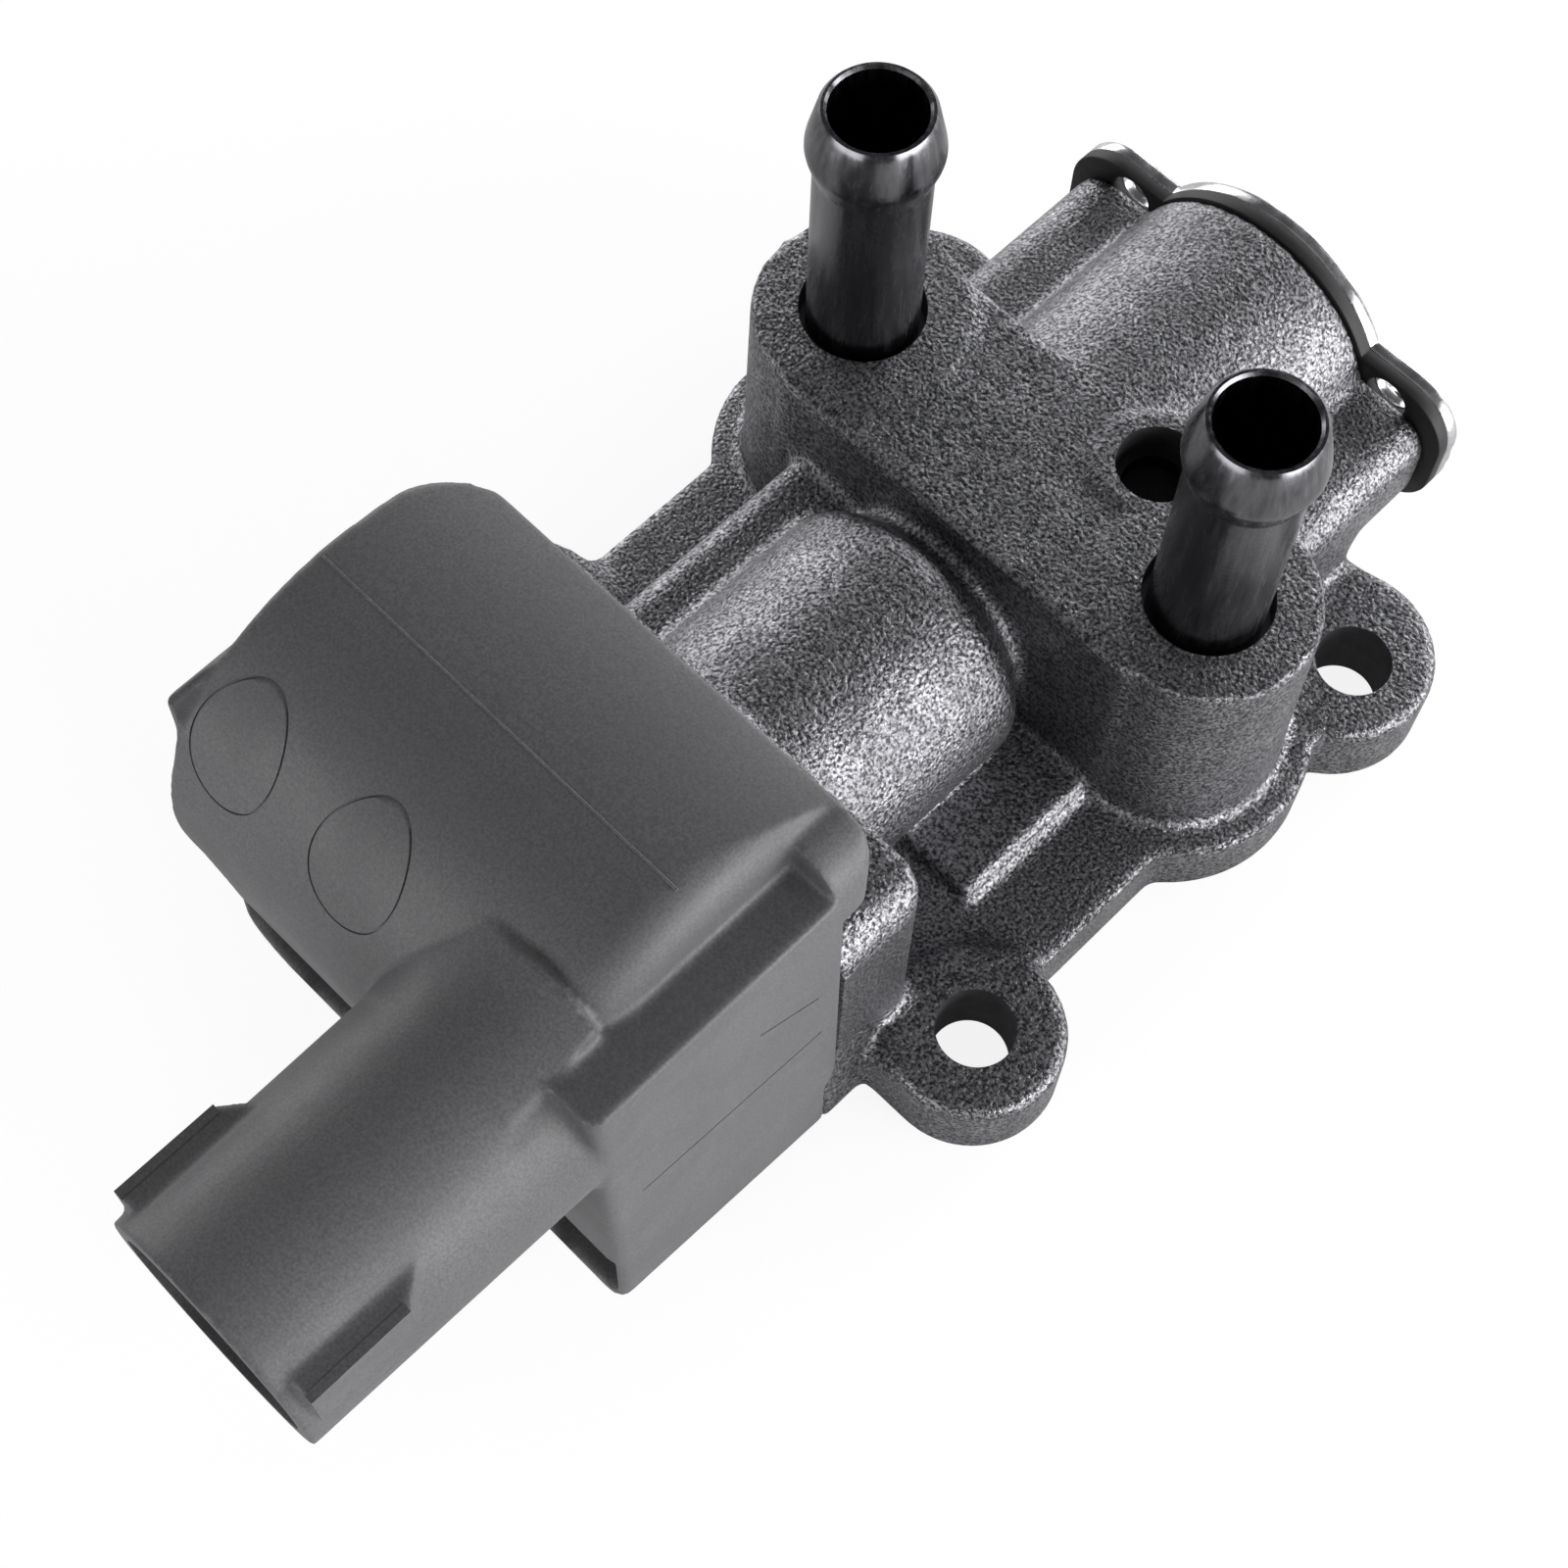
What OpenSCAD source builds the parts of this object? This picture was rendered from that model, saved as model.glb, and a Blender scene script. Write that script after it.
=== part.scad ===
// Idle air control valve: a cast body with a four-hole flange, two coolant nipples,
// a rotary shutter driven by a solenoid, and a moulded housing with its plug socket.
// Origin on the mounting face, below the shutter's axis and in line with the nipples.

/* [Flange] */
// Distance between the bolt holes across the valve
hole_span_x = 52.8; // [50:0.2:60]
// Distance between the bolt holes along the valve
hole_span_y = 47; // [44:0.5:52]
// Distance from the nipple line to the rear bolt holes
rear_hole_y = 14.9; // [13:0.1:17]
// Bolt hole diameter, clearance for a 6 mm bolt
hole_d = 6.6; // [5.5:0.1:8]
// Radius of the front bolt lobes
front_lobe_r = 7.5; // [6.5:0.1:8.5]
// Radius of the rear bolt lobes
rear_lobe_r = 8.4; // [7:0.1:9.5]
// Thickness of the flange web
flange_t = 6; // [5:0.1:7]
// Thickness at the bolt lobes
lobe_t = 7.3; // [6:0.1:9]
// Rear edge of the flange web
flange_rear_y = 23; // [21:0.1:24]
// Radius of the flange round each nipple boss
bulge_r = 12.4; // [11:0.1:13.5]
// Rounding of the lobes' top edge
lobe_round = 0.8; // [0.3:0.1:1.2]
// Width of the slope from the lobes down to the web
lobe_slope = 1.2; // [0.5:0.1:2]

/* [Barrel] */
// Height of the shutter's axis above the mounting face
axis_z = 14.8; // [14.4:0.1:16]
// Outer radius of the barrel behind the bridge
rear_barrel_r = 12.8; // [12.4:0.1:13.2]
// Outer radius of the barrel in front of the bridge
front_barrel_r = 12.3; // [11.5:0.1:12.8]
// Radius of the shutter's bore
bore_r = 7.5; // [7.2:0.1:7.8]
// Rear end face of the casting
rear_face_y = 29.6; // [29:0.1:32]
// Rear end of the front barrel
front_barrel_y = -11.5; // [-12.5:0.1:-11]
// Rounding at the rear end of the front barrel
front_barrel_round = 3; // [1:0.5:4]
// Front end of the shutter's bore
bore_front_y = -30; // [-31:0.5:-27]

/* [Bridge] */
// Height of the bridge and of the nipple boss tops
bridge_z = 27.5; // [27.2:0.1:29]
// Front wall of the bridge
bridge_front_y = -9.7; // [-10:0.1:-9.2]
// Rear wall of the bridge
bridge_rear_y = 8.5; // [7.5:0.1:9.5]
// Step from the bridge up to the boss pads
pad_step = 0.35; // [0.1:0.05:0.6]
// Radius of the nipple bosses at the top
boss_r = 9.15; // [8.8:0.05:9.6]
// Radius of the nipple bosses at the flange
boss_foot_r = 9.8; // [9.6:0.1:10.5]
// Plug hole position across
plug_x = 8.1; // [7:0.1:9]
// Plug hole position along
plug_y = 6.1; // [5:0.1:6.5]
// Plug hole radius
plug_r = 3.5; // [3:0.1:3.8]
// Width of the raised rim round the plug hole
plug_rim = 1.6; // [1:0.1:2]
// Depth of the plug hole
plug_depth = 5.2; // [4:0.1:5.4]

/* [Shoulders] */
// Half width of the shoulders beside the rear barrel
shoulder_x = 19.6; // [19:0.1:20.4]
// Height of the flats beside the barrels
shoulder_z = 19.2; // [18:0.1:20]
// Underside of the overhanging cover face
overhang_z = 7.4; // [6.5:0.1:8]
// Outer side of the rail beside the front barrel
rail_x = 16.6; // [15.5:0.1:17.5]
// Outer side of the low pad beside the front barrel
pad_x = 18.2; // [17:0.1:19]
// Top of the low pad
pad_z = 7.6; // [6.8:0.1:8.5]
// Front end of the low pad
pad_front_y = -24.4; // [-26:0.1:-22]

/* [Solenoid plate] */
// Front face of the casting, where the housing seats
plate_front_y = -42.3; // [-43:0.1:-42]
// Thickness of the plate
plate_t = 9.2; // [8:0.1:10]
// Half width of the plate
plate_x = 20.7; // [20:0.1:21.5]
// Top of the plate
plate_z = 29; // [28:0.1:30]
// Rounding of the plate's top corners
plate_round = 3.5; // [2:0.5:6]
// Reach of the foot in front of the plate, under the housing
foot_reach = 2.2; // [1:0.1:2.5]
// Top of the foot
foot_z = 10; // [9.6:0.1:11]

/* [Passages] */
// Half width of the inlet port
inlet_hx = 5; // [4.6:0.1:5.5]
// Front end of the inlet port
inlet_y = -24; // [-25:0.5:-23]
// Length of the inlet port
inlet_len = 10; // [9.5:0.5:11]
// Half width of the outlet port
outlet_hx = 3.75; // [3.6:0.05:4]
// Front end of the outlet port
outlet_y = 8; // [7:0.5:8]
// Length of the outlet port
outlet_len = 8; // [8:0.5:9]
// Radius of the coolant passage under the bore
coolant_r = 2; // [1.5:0.1:2.1]
// Height of the coolant passage
coolant_z = 3.6; // [3.4:0.1:3.8]

/* [Nipples] */
// Distance between the two nipples
nipple_span = 37.4; // [36:0.1:39]
// Outer radius of the tube
tube_r = 4.7; // [4.4:0.05:4.9]
// Bore radius of the tube
tube_bore_r = 3.83; // [3.4:0.01:4]
// Radius of the hose bead
bead_r = 5.38; // [5.2:0.02:5.8]
// Height of the bead's crest
bead_z = 48.9; // [46:0.1:50]
// Height of the mouth
mouth_z = 53; // [52:0.1:56]
// Width of the gap round the foot of each tube
foot_gap = 0.6; // [0.3:0.1:0.8]
// Depth of the gap round the foot of each tube
foot_depth = 3; // [1:0.5:4]
// Length of the tube pressed into the boss
press_len = 12; // [8:0.5:14]

/* [End cover] */
// Thickness of the gasket
gasket_t = 1.2; // [0.8:0.1:2]
// Thickness of the pressed cover
cover_t = 1.2; // [0.8:0.1:2]
// Radius of the cover over the barrel
cover_r = 12.9; // [12.8:0.1:13.6]
// Radius of the embossed cup
cup_r = 11.6; // [10.5:0.1:12]
// Height of the embossed cup above the plate
cup_h = 0.5; // [0.3:0.1:1]
// Half width over the ears
ear_x = 20.8; // [20.4:0.1:22.5]
// Top of the ears
ear_top_z = 21.4; // [20:0.1:22]
// Bottom of the ears
ear_low_z = 7.8; // [7:0.1:8.6]
// Distance of the cover screws from the middle plane
screw_x = 16.2; // [15.8:0.1:16.4]
// Height of the cover screws
screw_z = 13; // [12.6:0.1:13.4]
// Thread radius of the cover screws
screw_r = 2; // [1.5:0.1:2.2]
// Head radius of the cover screws
screw_head_r = 3.9; // [3.4:0.1:4]
// Head height of the cover screws
screw_head_h = 2.5; // [1.8:0.1:3]
// Length of the cover screws under the head
screw_len = 11; // [8:0.5:14]
// Thickness of the screw washers
washer_t = 0.8; // [0.5:0.1:1.2]
// Locating hole radius in the ears
ear_hole_r = 2; // [1.5:0.1:2.2]

/* [Housing] */
// Front of the housing's side walls
house_front_y = -66.9; // [-68:0.1:-66]
// Right side wall at the mounting face
house_x = 22.2; // [22:0.1:23]
// Left side wall at the mounting face
house_left_x = -22.6; // [-23:0.1:-22.2]
// Draft of the side walls in degrees
wall_draft = 1.3; // [0.5:0.1:1.5]
// Left side of the raised crown
crown_left_x = -20.9; // [-21.2:0.1:-20]
// Right side of the raised crown
crown_right_x = 16.7; // [16.5:0.1:18]
// Front of the crown
crown_front_y = -69.7; // [-71:0.1:-68.5]
// Lower edge of the crown's front
crown_low_z = 13.5; // [12.5:0.5:14.5]
// Rear of the housing over the plate
house_rear_y = -40; // [-41:0.1:-39.5]
// Rounding of the crown's right edge
crown_round = 3.5; // [2:0.1:4]
// Depth of the screw pockets under the crown's front
recess_depth = 5; // [3:0.5:5]
// Underside of the housing at the casting
house_low_z = 0.5; // [0.3:0.1:1.5]
// Rise of the underside towards the front
belly_rise = 2.9; // [2:0.1:3.2]
// Corner radius of the right wall at the underside
belly_r = 3; // [2:0.1:4]
// Corner radius of the left wall at the underside
belly_left_r = 6.5; // [6:0.1:7]
// Top of the right side wall
ledge_z = 45.2; // [44.5:0.1:46]
// Top of the left side wall
ledge_left_z = 46.4; // [45.5:0.1:46.8]
// Top of the housing at the parting line
crown_z = 50.5; // [49.5:0.1:51.5]
// Top of the housing at its rear edge
crown_rear_z = 48.2; // [47:0.1:48.5]
// Radius of the front shoulder
shoulder_r = 18; // [16:0.5:19]
// Thickness of the rear rim that overlaps the ledges
rim_t = 4.5; // [3:0.5:6]
// Lower end of the rear rim
rim_low_z = 39.5; // [36:0.5:42]
// Rounding of the rear upright edges
rear_round = 2.6; // [2:0.1:4]

/* [Plug socket] */
// Socket axis across the valve
socket_x = 11.2; // [10.8:0.1:11.4]
// Socket axis height
socket_z = 36; // [35.5:0.1:36.5]
// Outer radius of the socket at its mouth
socket_r = 9.75; // [9.6:0.05:10]
// Outer radius of the socket at its root
socket_root_r = 10.15; // [10.1:0.05:10.4]
// Wall thickness of the socket
socket_wall = 1.5; // [1.2:0.1:1.8]
// Mouth of the socket
socket_y = -92.2; // [-96:0.1:-90]
// Depth of the socket
socket_depth = 20; // [16:0.5:21]
// Flat top of the latch wings above the socket's axis
latch_z = 6.5; // [6.2:0.1:6.8]
// Reach of the latch wings from the socket's axis
latch_reach = 9.6; // [9.5:0.05:9.65]
// Length of the latch wings
latch_len = 11.4; // [10:0.2:12]
// Length of the chamfer at the wings' rear
latch_taper = 3.1; // [2:0.1:4]
// Distance of the latch wings from the mouth
latch_lip = 1.3; // [1:0.1:2]
// Radius of the flare where the socket meets the crown
flare_r = 12.2; // [11:0.1:13]
// Length of the flare
flare_len = 8; // [6:0.5:9]
// Pitch of the three terminals
pin_pitch = 4; // [3.6:0.1:4.2]
// Width of a terminal
pin_w = 1.8; // [1.4:0.1:2]
// Thickness of a terminal
pin_t = 0.8; // [0.6:0.1:1]
// Length of the terminals inside the socket
pin_len = 11.5; // [10:0.5:13]

/* [Solenoid] */
// Middle of the stator along the valve
stator_y = -54.5; // [-55:0.1:-54]
// Length of the stator stack
stator_len = 13; // [11:0.5:13.5]
// Half width over the stator legs
stator_x = 16.3; // [15.8:0.1:16.6]
// Thickness of the stator legs
leg_t = 3.6; // [3:0.1:3.8]
// Height of the coil's axis
coil_z = 36; // [35.8:0.1:36.2]
// Height of the core bar in the coil
bar_h = 6; // [5:0.1:6.5]
// Radius of the rotor magnet
magnet_r = 6; // [5.5:0.1:6.2]
// Air gap between the magnet and the pole shoes
air_gap = 0.6; // [0.4:0.1:0.8]
// Half height of the pole shoes
shoe_h = 5.3; // [5:0.1:5.5]
// Thickness of the winding
winding_t = 3.2; // [2.5:0.1:3.4]
// Thickness of the bobbin
bobbin_t = 0.8; // [0.6:0.1:0.9]

/* [Rotor] */
// Radius of the shaft
shaft_r = 2; // [1.8:0.05:2.2]
// Radial running clearance of the shaft
run_clear = 0.05; // [0.02:0.01:0.09]
// Radial clearance of the shutter in its bore
shutter_clear = 0.35; // [0.3:0.05:0.6]
// Wall of the shutter
shutter_wall = 1.6; // [1.2:0.1:2]
// Arc of the shutter
shutter_arc = 80; // [76:1:88]
// Travel of the rotor to each side of rest
travel = 30; // [20:1:32]
// Overlap of the shutter past each end of the outlet port
shutter_lap = 2; // [1:0.5:2.5]
// Rear bearing thickness
bearing_t = 3.5; // [3:0.1:4]

/* [Hidden] */
$fn = 96;
eps = 0.01;
fit_gap = 0.3;

front_hole_y = rear_hole_y - hole_span_y;
flange_front_y = front_hole_y - front_lobe_r;
lobe_inset = 1.6;
plate_edge_round = 2.5;
nipple_x = nipple_span / 2;
plate_rear_y = plate_front_y + plate_t;
pad_top_z = bridge_z + pad_step;

cover_y = rear_face_y + gasket_t;
head_y = cover_y + cover_t + washer_t;
ear_hole_x = screw_x - 1.8;
ear_hole_z = screw_z + 5.9;

shutter_r = bore_r - shutter_clear;
shutter_y = outlet_y - shutter_lap;
shutter_len = outlet_len + 2 * shutter_lap;
bearing_y = shutter_y + shutter_len + 1;
lever_y = bearing_y + bearing_t + 0.5;
lever_t = 1.2;
pin_r = 0.8;
pin_orbit = 5.1;
guard_y = lever_y + lever_t + 0.5;
guard_t = 0.8;
slot_gap = 0.3;
strip_y = guard_y + guard_t;
strip_w = 3;
strip_t = 0.5;
strip_in_r = 2.2;
strip_out_r = 5.8;
strip_turns = 2.5;

hub_r = 3.4;
cavity_r = magnet_r + air_gap;
cavity_front_y = stator_y - stator_len / 2 - 1;
bush_r = 4;
bush_len = 3;
spigot_r = 9.2;
spigot_len = 3.5;
seal_far = 2.6;
seal_near = 0.7;
seal_wire_r = (seal_far - seal_near) / 2;
house_screw_x = 15;
house_screw_z = 6.4;
house_screw_r = 1.6;
house_screw_head_r = 2.5;
house_screw_head_h = 2;
base_t = 8;
wall_lap = 0.2;
crown_draft = 7.5;
front_lap = 0.1;
front_depth = 6;
foot_x = 22;
foot_top_x = 20.8;
foot_round = 1.5;
lug_in_x = 11.2;
house_thread_len = 6;
front_round = 1;
rim_left_x = house_left_x + ledge_z * tan(wall_draft);
rim_right_x = house_x - ledge_z * tan(wall_draft);
rim_round = 2.7;
rim_round_left = 6;
rim_top_right = 4.5;
rim_top_left = 6;
rim_foot_round = 3;
recess_in_x = 8;
recess_lip = 1;
recess_low_z = house_low_z + belly_rise + recess_lip;

winding_hx = stator_x - leg_t - bobbin_t;
socket_floor_y = socket_y + socket_depth;
socket_bore_r = socket_r - socket_wall;

// Rectangle with its four corners rounded by r = [low left, low right, top right, top left]
module rounded(x0, x1, y0, y1, r) {
    difference() {
        translate([x0, y0]) square([x1 - x0, y1 - y0]);
        corner_cut(x0, y0, -1, -1, r[0]);
        corner_cut(x1, y0, 1, -1, r[1]);
        corner_cut(x1, y1, 1, 1, r[2]);
        corner_cut(x0, y1, -1, 1, r[3]);
    }
}

// What is cut off one corner at (x, y) to round it by r
module corner_cut(x, y, sx, sy, r) {
    if (r > 0)
        translate([x - sx * r, y - sy * r])
            mirror([sx < 0 ? 1 : 0, 0])
                mirror([0, sy < 0 ? 1 : 0])
                    difference() {
                        square([r + 1, r + 1]);
                        circle(r = r);
                    }
}

// Extrusion along Y of a profile drawn in X and Z
module along_y(y0, y1) {
    translate([0, y1, 0]) rotate([90, 0, 0]) linear_extrude(y1 - y0) children();
}

// Extrusion along X of a profile drawn in Y and Z
module along_x(x0, x1) {
    translate([x0, 0, 0]) rotate([90, 0, 90]) linear_extrude(x1 - x0) children();
}

// Turned form about the shutter's axis, drawn as radius and Y
module turned() {
    translate([0, 0, axis_z]) rotate([-90, 0, 0]) rotate_extrude() children();
}

// Cylinder along Y from y0 to y1 at (x, z)
module rod_y(x, z, r, y0, y1) {
    translate([x, y0, z]) rotate([-90, 0, 0]) cylinder(r = r, h = y1 - y0);
}

// The same on both sides of the valve
module both_sides() {
    children();
    mirror([1, 0, 0]) children();
}

// Flange outline, seen from above
module flange_outline() {
    translate([-hole_span_x / 2, flange_front_y])
        square([hole_span_x, flange_rear_y - flange_front_y]);
    for (side = [-1, 1]) {
        translate([side * hole_span_x / 2, front_hole_y]) circle(r = front_lobe_r);
        translate([side * (hole_span_x / 2 - lobe_inset), rear_hole_y]) circle(r = rear_lobe_r);
        translate([side * nipple_x, 0]) circle(r = bulge_r);
    }
}

// Raised bolt lobe with a rounded rim and a slope down to the web
module lobe(x, y, r) {
    translate([x, y, 0]) rotate_extrude() rounded(0, r, 0, lobe_t, [0, 0, lobe_round, 0]);
    intersection() {
        linear_extrude(lobe_t) flange_outline();
        translate([x, y, flange_t - eps])
            cylinder(r1 = r + lobe_slope, r2 = r - lobe_round, h = lobe_t - flange_t);
    }
}

module flange_plate() {
    linear_extrude(flange_t) flange_outline();
    for (side = [-1, 1]) {
        lobe(side * hole_span_x / 2, front_hole_y, front_lobe_r);
        lobe(side * (hole_span_x / 2 - lobe_inset), rear_hole_y, rear_lobe_r);
    }
}

module barrels() {
    turned() {
        translate([0, -1]) square([rear_barrel_r, rear_face_y + 1]);
        rounded(0, front_barrel_r, plate_rear_y - 1, front_barrel_y, [0, 0, front_barrel_round, 0]);
        translate([0, front_barrel_y - 4]) square([bore_r + 2.2, 6 - front_barrel_y]);
    }
}

module bridge() {
    translate([-nipple_x, bridge_front_y, 0])
        cube([nipple_span, bridge_rear_y - bridge_front_y, bridge_z]);
    both_sides() translate([nipple_x, 0, 0]) cylinder(r1 = boss_foot_r, r2 = boss_r, h = pad_top_z);
    translate([plug_x, plug_y, axis_z]) cylinder(r = plug_r + plug_rim, h = pad_top_z - axis_z);
}

module shoulders() {
    along_y(bridge_rear_y - 1, rear_face_y)
        rounded(-shoulder_x, shoulder_x, overhang_z, shoulder_z, [5, 5, 3.7, 3.7]);
    along_y(bridge_rear_y - 1, flange_rear_y - 0.6)
        rounded(-shoulder_x, shoulder_x, 0, shoulder_z, [0, 0, 3.7, 3.7]);
    along_y(plate_rear_y - 1, bridge_front_y + 1)
        rounded(-rail_x, -2, 0, shoulder_z, [0, 0, 0, 2]);
    translate([0, pad_front_y, 0]) cube([pad_x, bridge_front_y - pad_front_y, pad_z]);
}

module solenoid_plate() {
    intersection() {
        along_y(plate_front_y, plate_rear_y)
            rounded(-plate_x, plate_x, 0, plate_z, [0, 0, plate_round, plate_round]);
        linear_extrude(plate_z)
            rounded(-plate_x, plate_x, plate_front_y, plate_rear_y,
                    [0, 0, plate_edge_round, plate_edge_round]);
    }
    // Foot under the plate, its two lugs reaching in front of it for the housing's screws
    difference() {
        along_y(plate_front_y - foot_reach, flange_front_y + 1)
            intersection() {
                rounded(-foot_x, foot_x, 0, foot_z, [foot_round, foot_round, 0, 0]);
                polygon([[-foot_x, 0], [foot_x, 0], [foot_top_x, foot_z], [-foot_top_x, foot_z]]);
            }
        translate([-lug_in_x, plate_front_y - foot_reach - 1, -1])
            cube([2 * lug_in_x, foot_reach + 1, foot_z + 2]);
    }
    rod_y(0, axis_z, spigot_r, plate_front_y - spigot_len, plate_front_y + 1);
}

module body_cuts() {
    // Bolt holes
    for (side = [-1, 1], y = [front_hole_y, rear_hole_y])
        translate([side * hole_span_x / 2, y, -1]) cylinder(d = hole_d, h = lobe_t + 2);
    // Shutter bore, shaft hole and seats of the seal and the seal ring
    rod_y(0, axis_z, bore_r, bore_front_y, rear_face_y + 1);
    rod_y(0, axis_z, shaft_r + 0.8, plate_front_y - spigot_len - 1, bore_front_y + 1);
    rod_y(0, axis_z, bush_r, plate_front_y - spigot_len - 1, plate_front_y);
    turned() translate([spigot_r - 1.7, plate_front_y - seal_far])
        square([3, seal_far - seal_near]);
    // Air ports
    translate([-inlet_hx, inlet_y, -1]) cube([2 * inlet_hx, inlet_len, axis_z]);
    translate([-outlet_hx, outlet_y, -1]) cube([2 * outlet_hx, outlet_len, axis_z]);
    // Coolant passage
    translate([-nipple_x, 0, coolant_z]) rotate([0, 90, 0]) cylinder(r = coolant_r, h = nipple_span);
    both_sides() translate([nipple_x, 0, coolant_z]) {
        cylinder(r = tube_bore_r, h = bridge_z);
        translate([0, 0, pad_top_z - press_len - coolant_z]) cylinder(r = tube_r, h = bridge_z);
        translate([0, 0, pad_top_z - foot_depth - coolant_z])
            cylinder(r = tube_r + foot_gap, h = bridge_z);
    }
    // Plug hole
    translate([plug_x, plug_y, bridge_z - plug_depth]) cylinder(r = plug_r, h = bridge_z);
    // Threads
    for (side = [-1, 1]) {
        rod_y(side * screw_x, screw_z, screw_r, head_y - screw_len - 1, rear_face_y + 1);
        rod_y(side * house_screw_x, house_screw_z, house_screw_r,
              plate_front_y - foot_reach - 1, plate_front_y + house_thread_len);
    }
}

module valve_body() {
    color("#4a4a4c")
        difference() {
            union() {
                flange_plate();
                barrels();
                bridge();
                shoulders();
                solenoid_plate();
            }
            body_cuts();
        }
}

// Hose nipple with a cone-sided bead, pressed into its boss
module nipple(x) {
    lip_r = tube_bore_r + 0.75;
    translate([x, 0, 0])
        color("#38383b")
            rotate_extrude()
                polygon([[tube_bore_r, pad_top_z - press_len], [tube_r, pad_top_z - press_len],
                         [tube_r, bead_z - 2.6], [bead_r, bead_z - 0.6], [bead_r, bead_z + 0.2],
                         [lip_r, mouth_z - 0.3], [lip_r - 0.3, mouth_z], [tube_bore_r, mouth_z]]);
}
module nipple_left() { nipple(-nipple_x); }
module nipple_right() { nipple(nipple_x); }

// Cup plug pressed to the bottom of the plug hole
module core_plug() {
    color("#1c1c1e")
        translate([plug_x, plug_y, bridge_z - plug_depth])
            difference() {
                cylinder(r = plug_r, h = 2.4);
                translate([0, 0, 0.8]) cylinder(r = plug_r - 0.8, h = 2.4);
            }
}

// Outline shared by the cover and its gasket, drawn in X and Z
module cover_outline() {
    translate([0, axis_z]) circle(r = cover_r);
    rounded(-ear_x, ear_x, ear_low_z, ear_top_z, [5, 5, 5, 5]);
}

module cover_holes() {
    for (side = [-1, 1]) {
        rod_y(side * screw_x, screw_z, screw_r + 0.2, rear_face_y - 1, head_y);
        rod_y(side * ear_hole_x, ear_hole_z, ear_hole_r, rear_face_y - 1, head_y);
    }
}

module cover_gasket() {
    color("#141415")
        difference() {
            along_y(rear_face_y, cover_y) cover_outline();
            rod_y(0, axis_z, bore_r, rear_face_y - 1, cover_y + 1);
            cover_holes();
        }
}

module end_cover() {
    color("#c9c9cc")
        difference() {
            union() {
                along_y(cover_y, cover_y + cover_t) cover_outline();
                rod_y(0, axis_z, cup_r, cover_y, cover_y + cover_t + cup_h);
                rod_y(0, axis_z, strip_in_r - strip_t, strip_y + fit_gap, cover_y + cover_t);
            }
            turned()
                difference() {
                    translate([0, cover_y - 1]) square([cup_r - cover_t, cup_h + 1]);
                    translate([0, cover_y - 2]) square([strip_in_r - strip_t, cup_h + 3]);
                }
            cover_holes();
        }
}

// Pan-head screw along Y, its head's seat at the origin and its shank towards -Y
module pan_screw(r, head_r, head_h, len) {
    rotate([-90, 0, 0]) {
        translate([0, 0, -len]) cylinder(r = r, h = len + eps);
        rotate_extrude()
            intersection() {
                rounded(0, head_r, 0, head_h, [0, 0, head_h * 0.6, 0]);
                translate([0, head_h - 2.4 * head_r]) circle(r = 2.4 * head_r);
            }
    }
}

module cover_screws() {
    color("#bfc0c4")
        for (side = [-1, 1])
            translate([side * screw_x, head_y, screw_z])
                pan_screw(screw_r, screw_head_r, screw_head_h, screw_len);
}

module cover_washers() {
    color("#b4b5b9")
        for (side = [-1, 1])
            difference() {
                rod_y(side * screw_x, screw_z, screw_head_r + 0.5, head_y - washer_t, head_y);
                rod_y(side * screw_x, screw_z, screw_r + 0.1, head_y - 2, head_y + 1);
            }
}

// Section of the crown across the valve, drawn in X and Z, its top at z
module crown_section(z) {
    rounded(crown_left_x, crown_right_x, rim_low_z - 1, z, [0, 0, crown_round, 0]);
}

// Crown: a rolled front shoulder, a drafted front below it and a gently arched rear
module crown() {
    shoulder_y = crown_front_y + shoulder_r;
    shoulder_z = crown_z - shoulder_r;
    crown_w = crown_right_x - crown_left_x;
    run = house_rear_y - shoulder_y;
    drop = crown_z - crown_rear_z;
    arch_r = (run * run + drop * drop) / (2 * drop);
    // Rolled shoulder, turned about a line across the valve
    intersection() {
        translate([0, shoulder_y, shoulder_z])
            rotate([0, 90, 0])
                rotate_extrude($fn = 180)
                    rounded(0, shoulder_r, crown_left_x, crown_right_x,
                            [0, 0, crown_round, 0]);
        translate([crown_left_x, crown_front_y, 0]) cube([crown_w, shoulder_r, crown_z]);
    }
    // Arched rear
    intersection() {
        along_y(shoulder_y, house_rear_y) crown_section(crown_z);
        along_x(crown_left_x, crown_right_x)
            translate([shoulder_y, crown_z - arch_r]) circle(r = arch_r, $fn = 360);
        linear_extrude(crown_z)
            rounded(crown_left_x, crown_right_x, crown_front_y, house_rear_y,
                    [0, 0, 0, rim_round_left]);
    }
    // Drafted front, a hair inside the shoulder where it leaves it
    intersection() {
        translate([0, shoulder_y, shoulder_z])
            rotate([crown_draft, 0, 0])
                translate([0, front_lap - shoulder_r, -2 * shoulder_r])
                    linear_extrude(2 * shoulder_r)
                        rounded(crown_left_x, crown_right_x, 0, front_depth,
                                [0, crown_round, 0, 0]);
        translate([crown_left_x, crown_front_y - 1, crown_low_z])
            cube([crown_w, 2 * shoulder_r, shoulder_z - crown_low_z]);
    }
}

// Plan of the side walls, leaning inwards by the draft
module drafted_walls() {
    span = house_x - house_left_x + 1;
    intersection() {
        translate([house_x, 0, 0])
            rotate([0, -wall_draft, 0])
                linear_extrude(crown_z)
                    rounded(-span, 0, house_front_y, plate_front_y,
                            [0, front_round, rear_round, 0]);
        translate([house_left_x, 0, 0])
            rotate([0, wall_draft, 0])
                linear_extrude(crown_z)
                    rounded(0, span, house_front_y, plate_front_y,
                            [front_round, 0, 0, rear_round]);
    }
}

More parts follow.
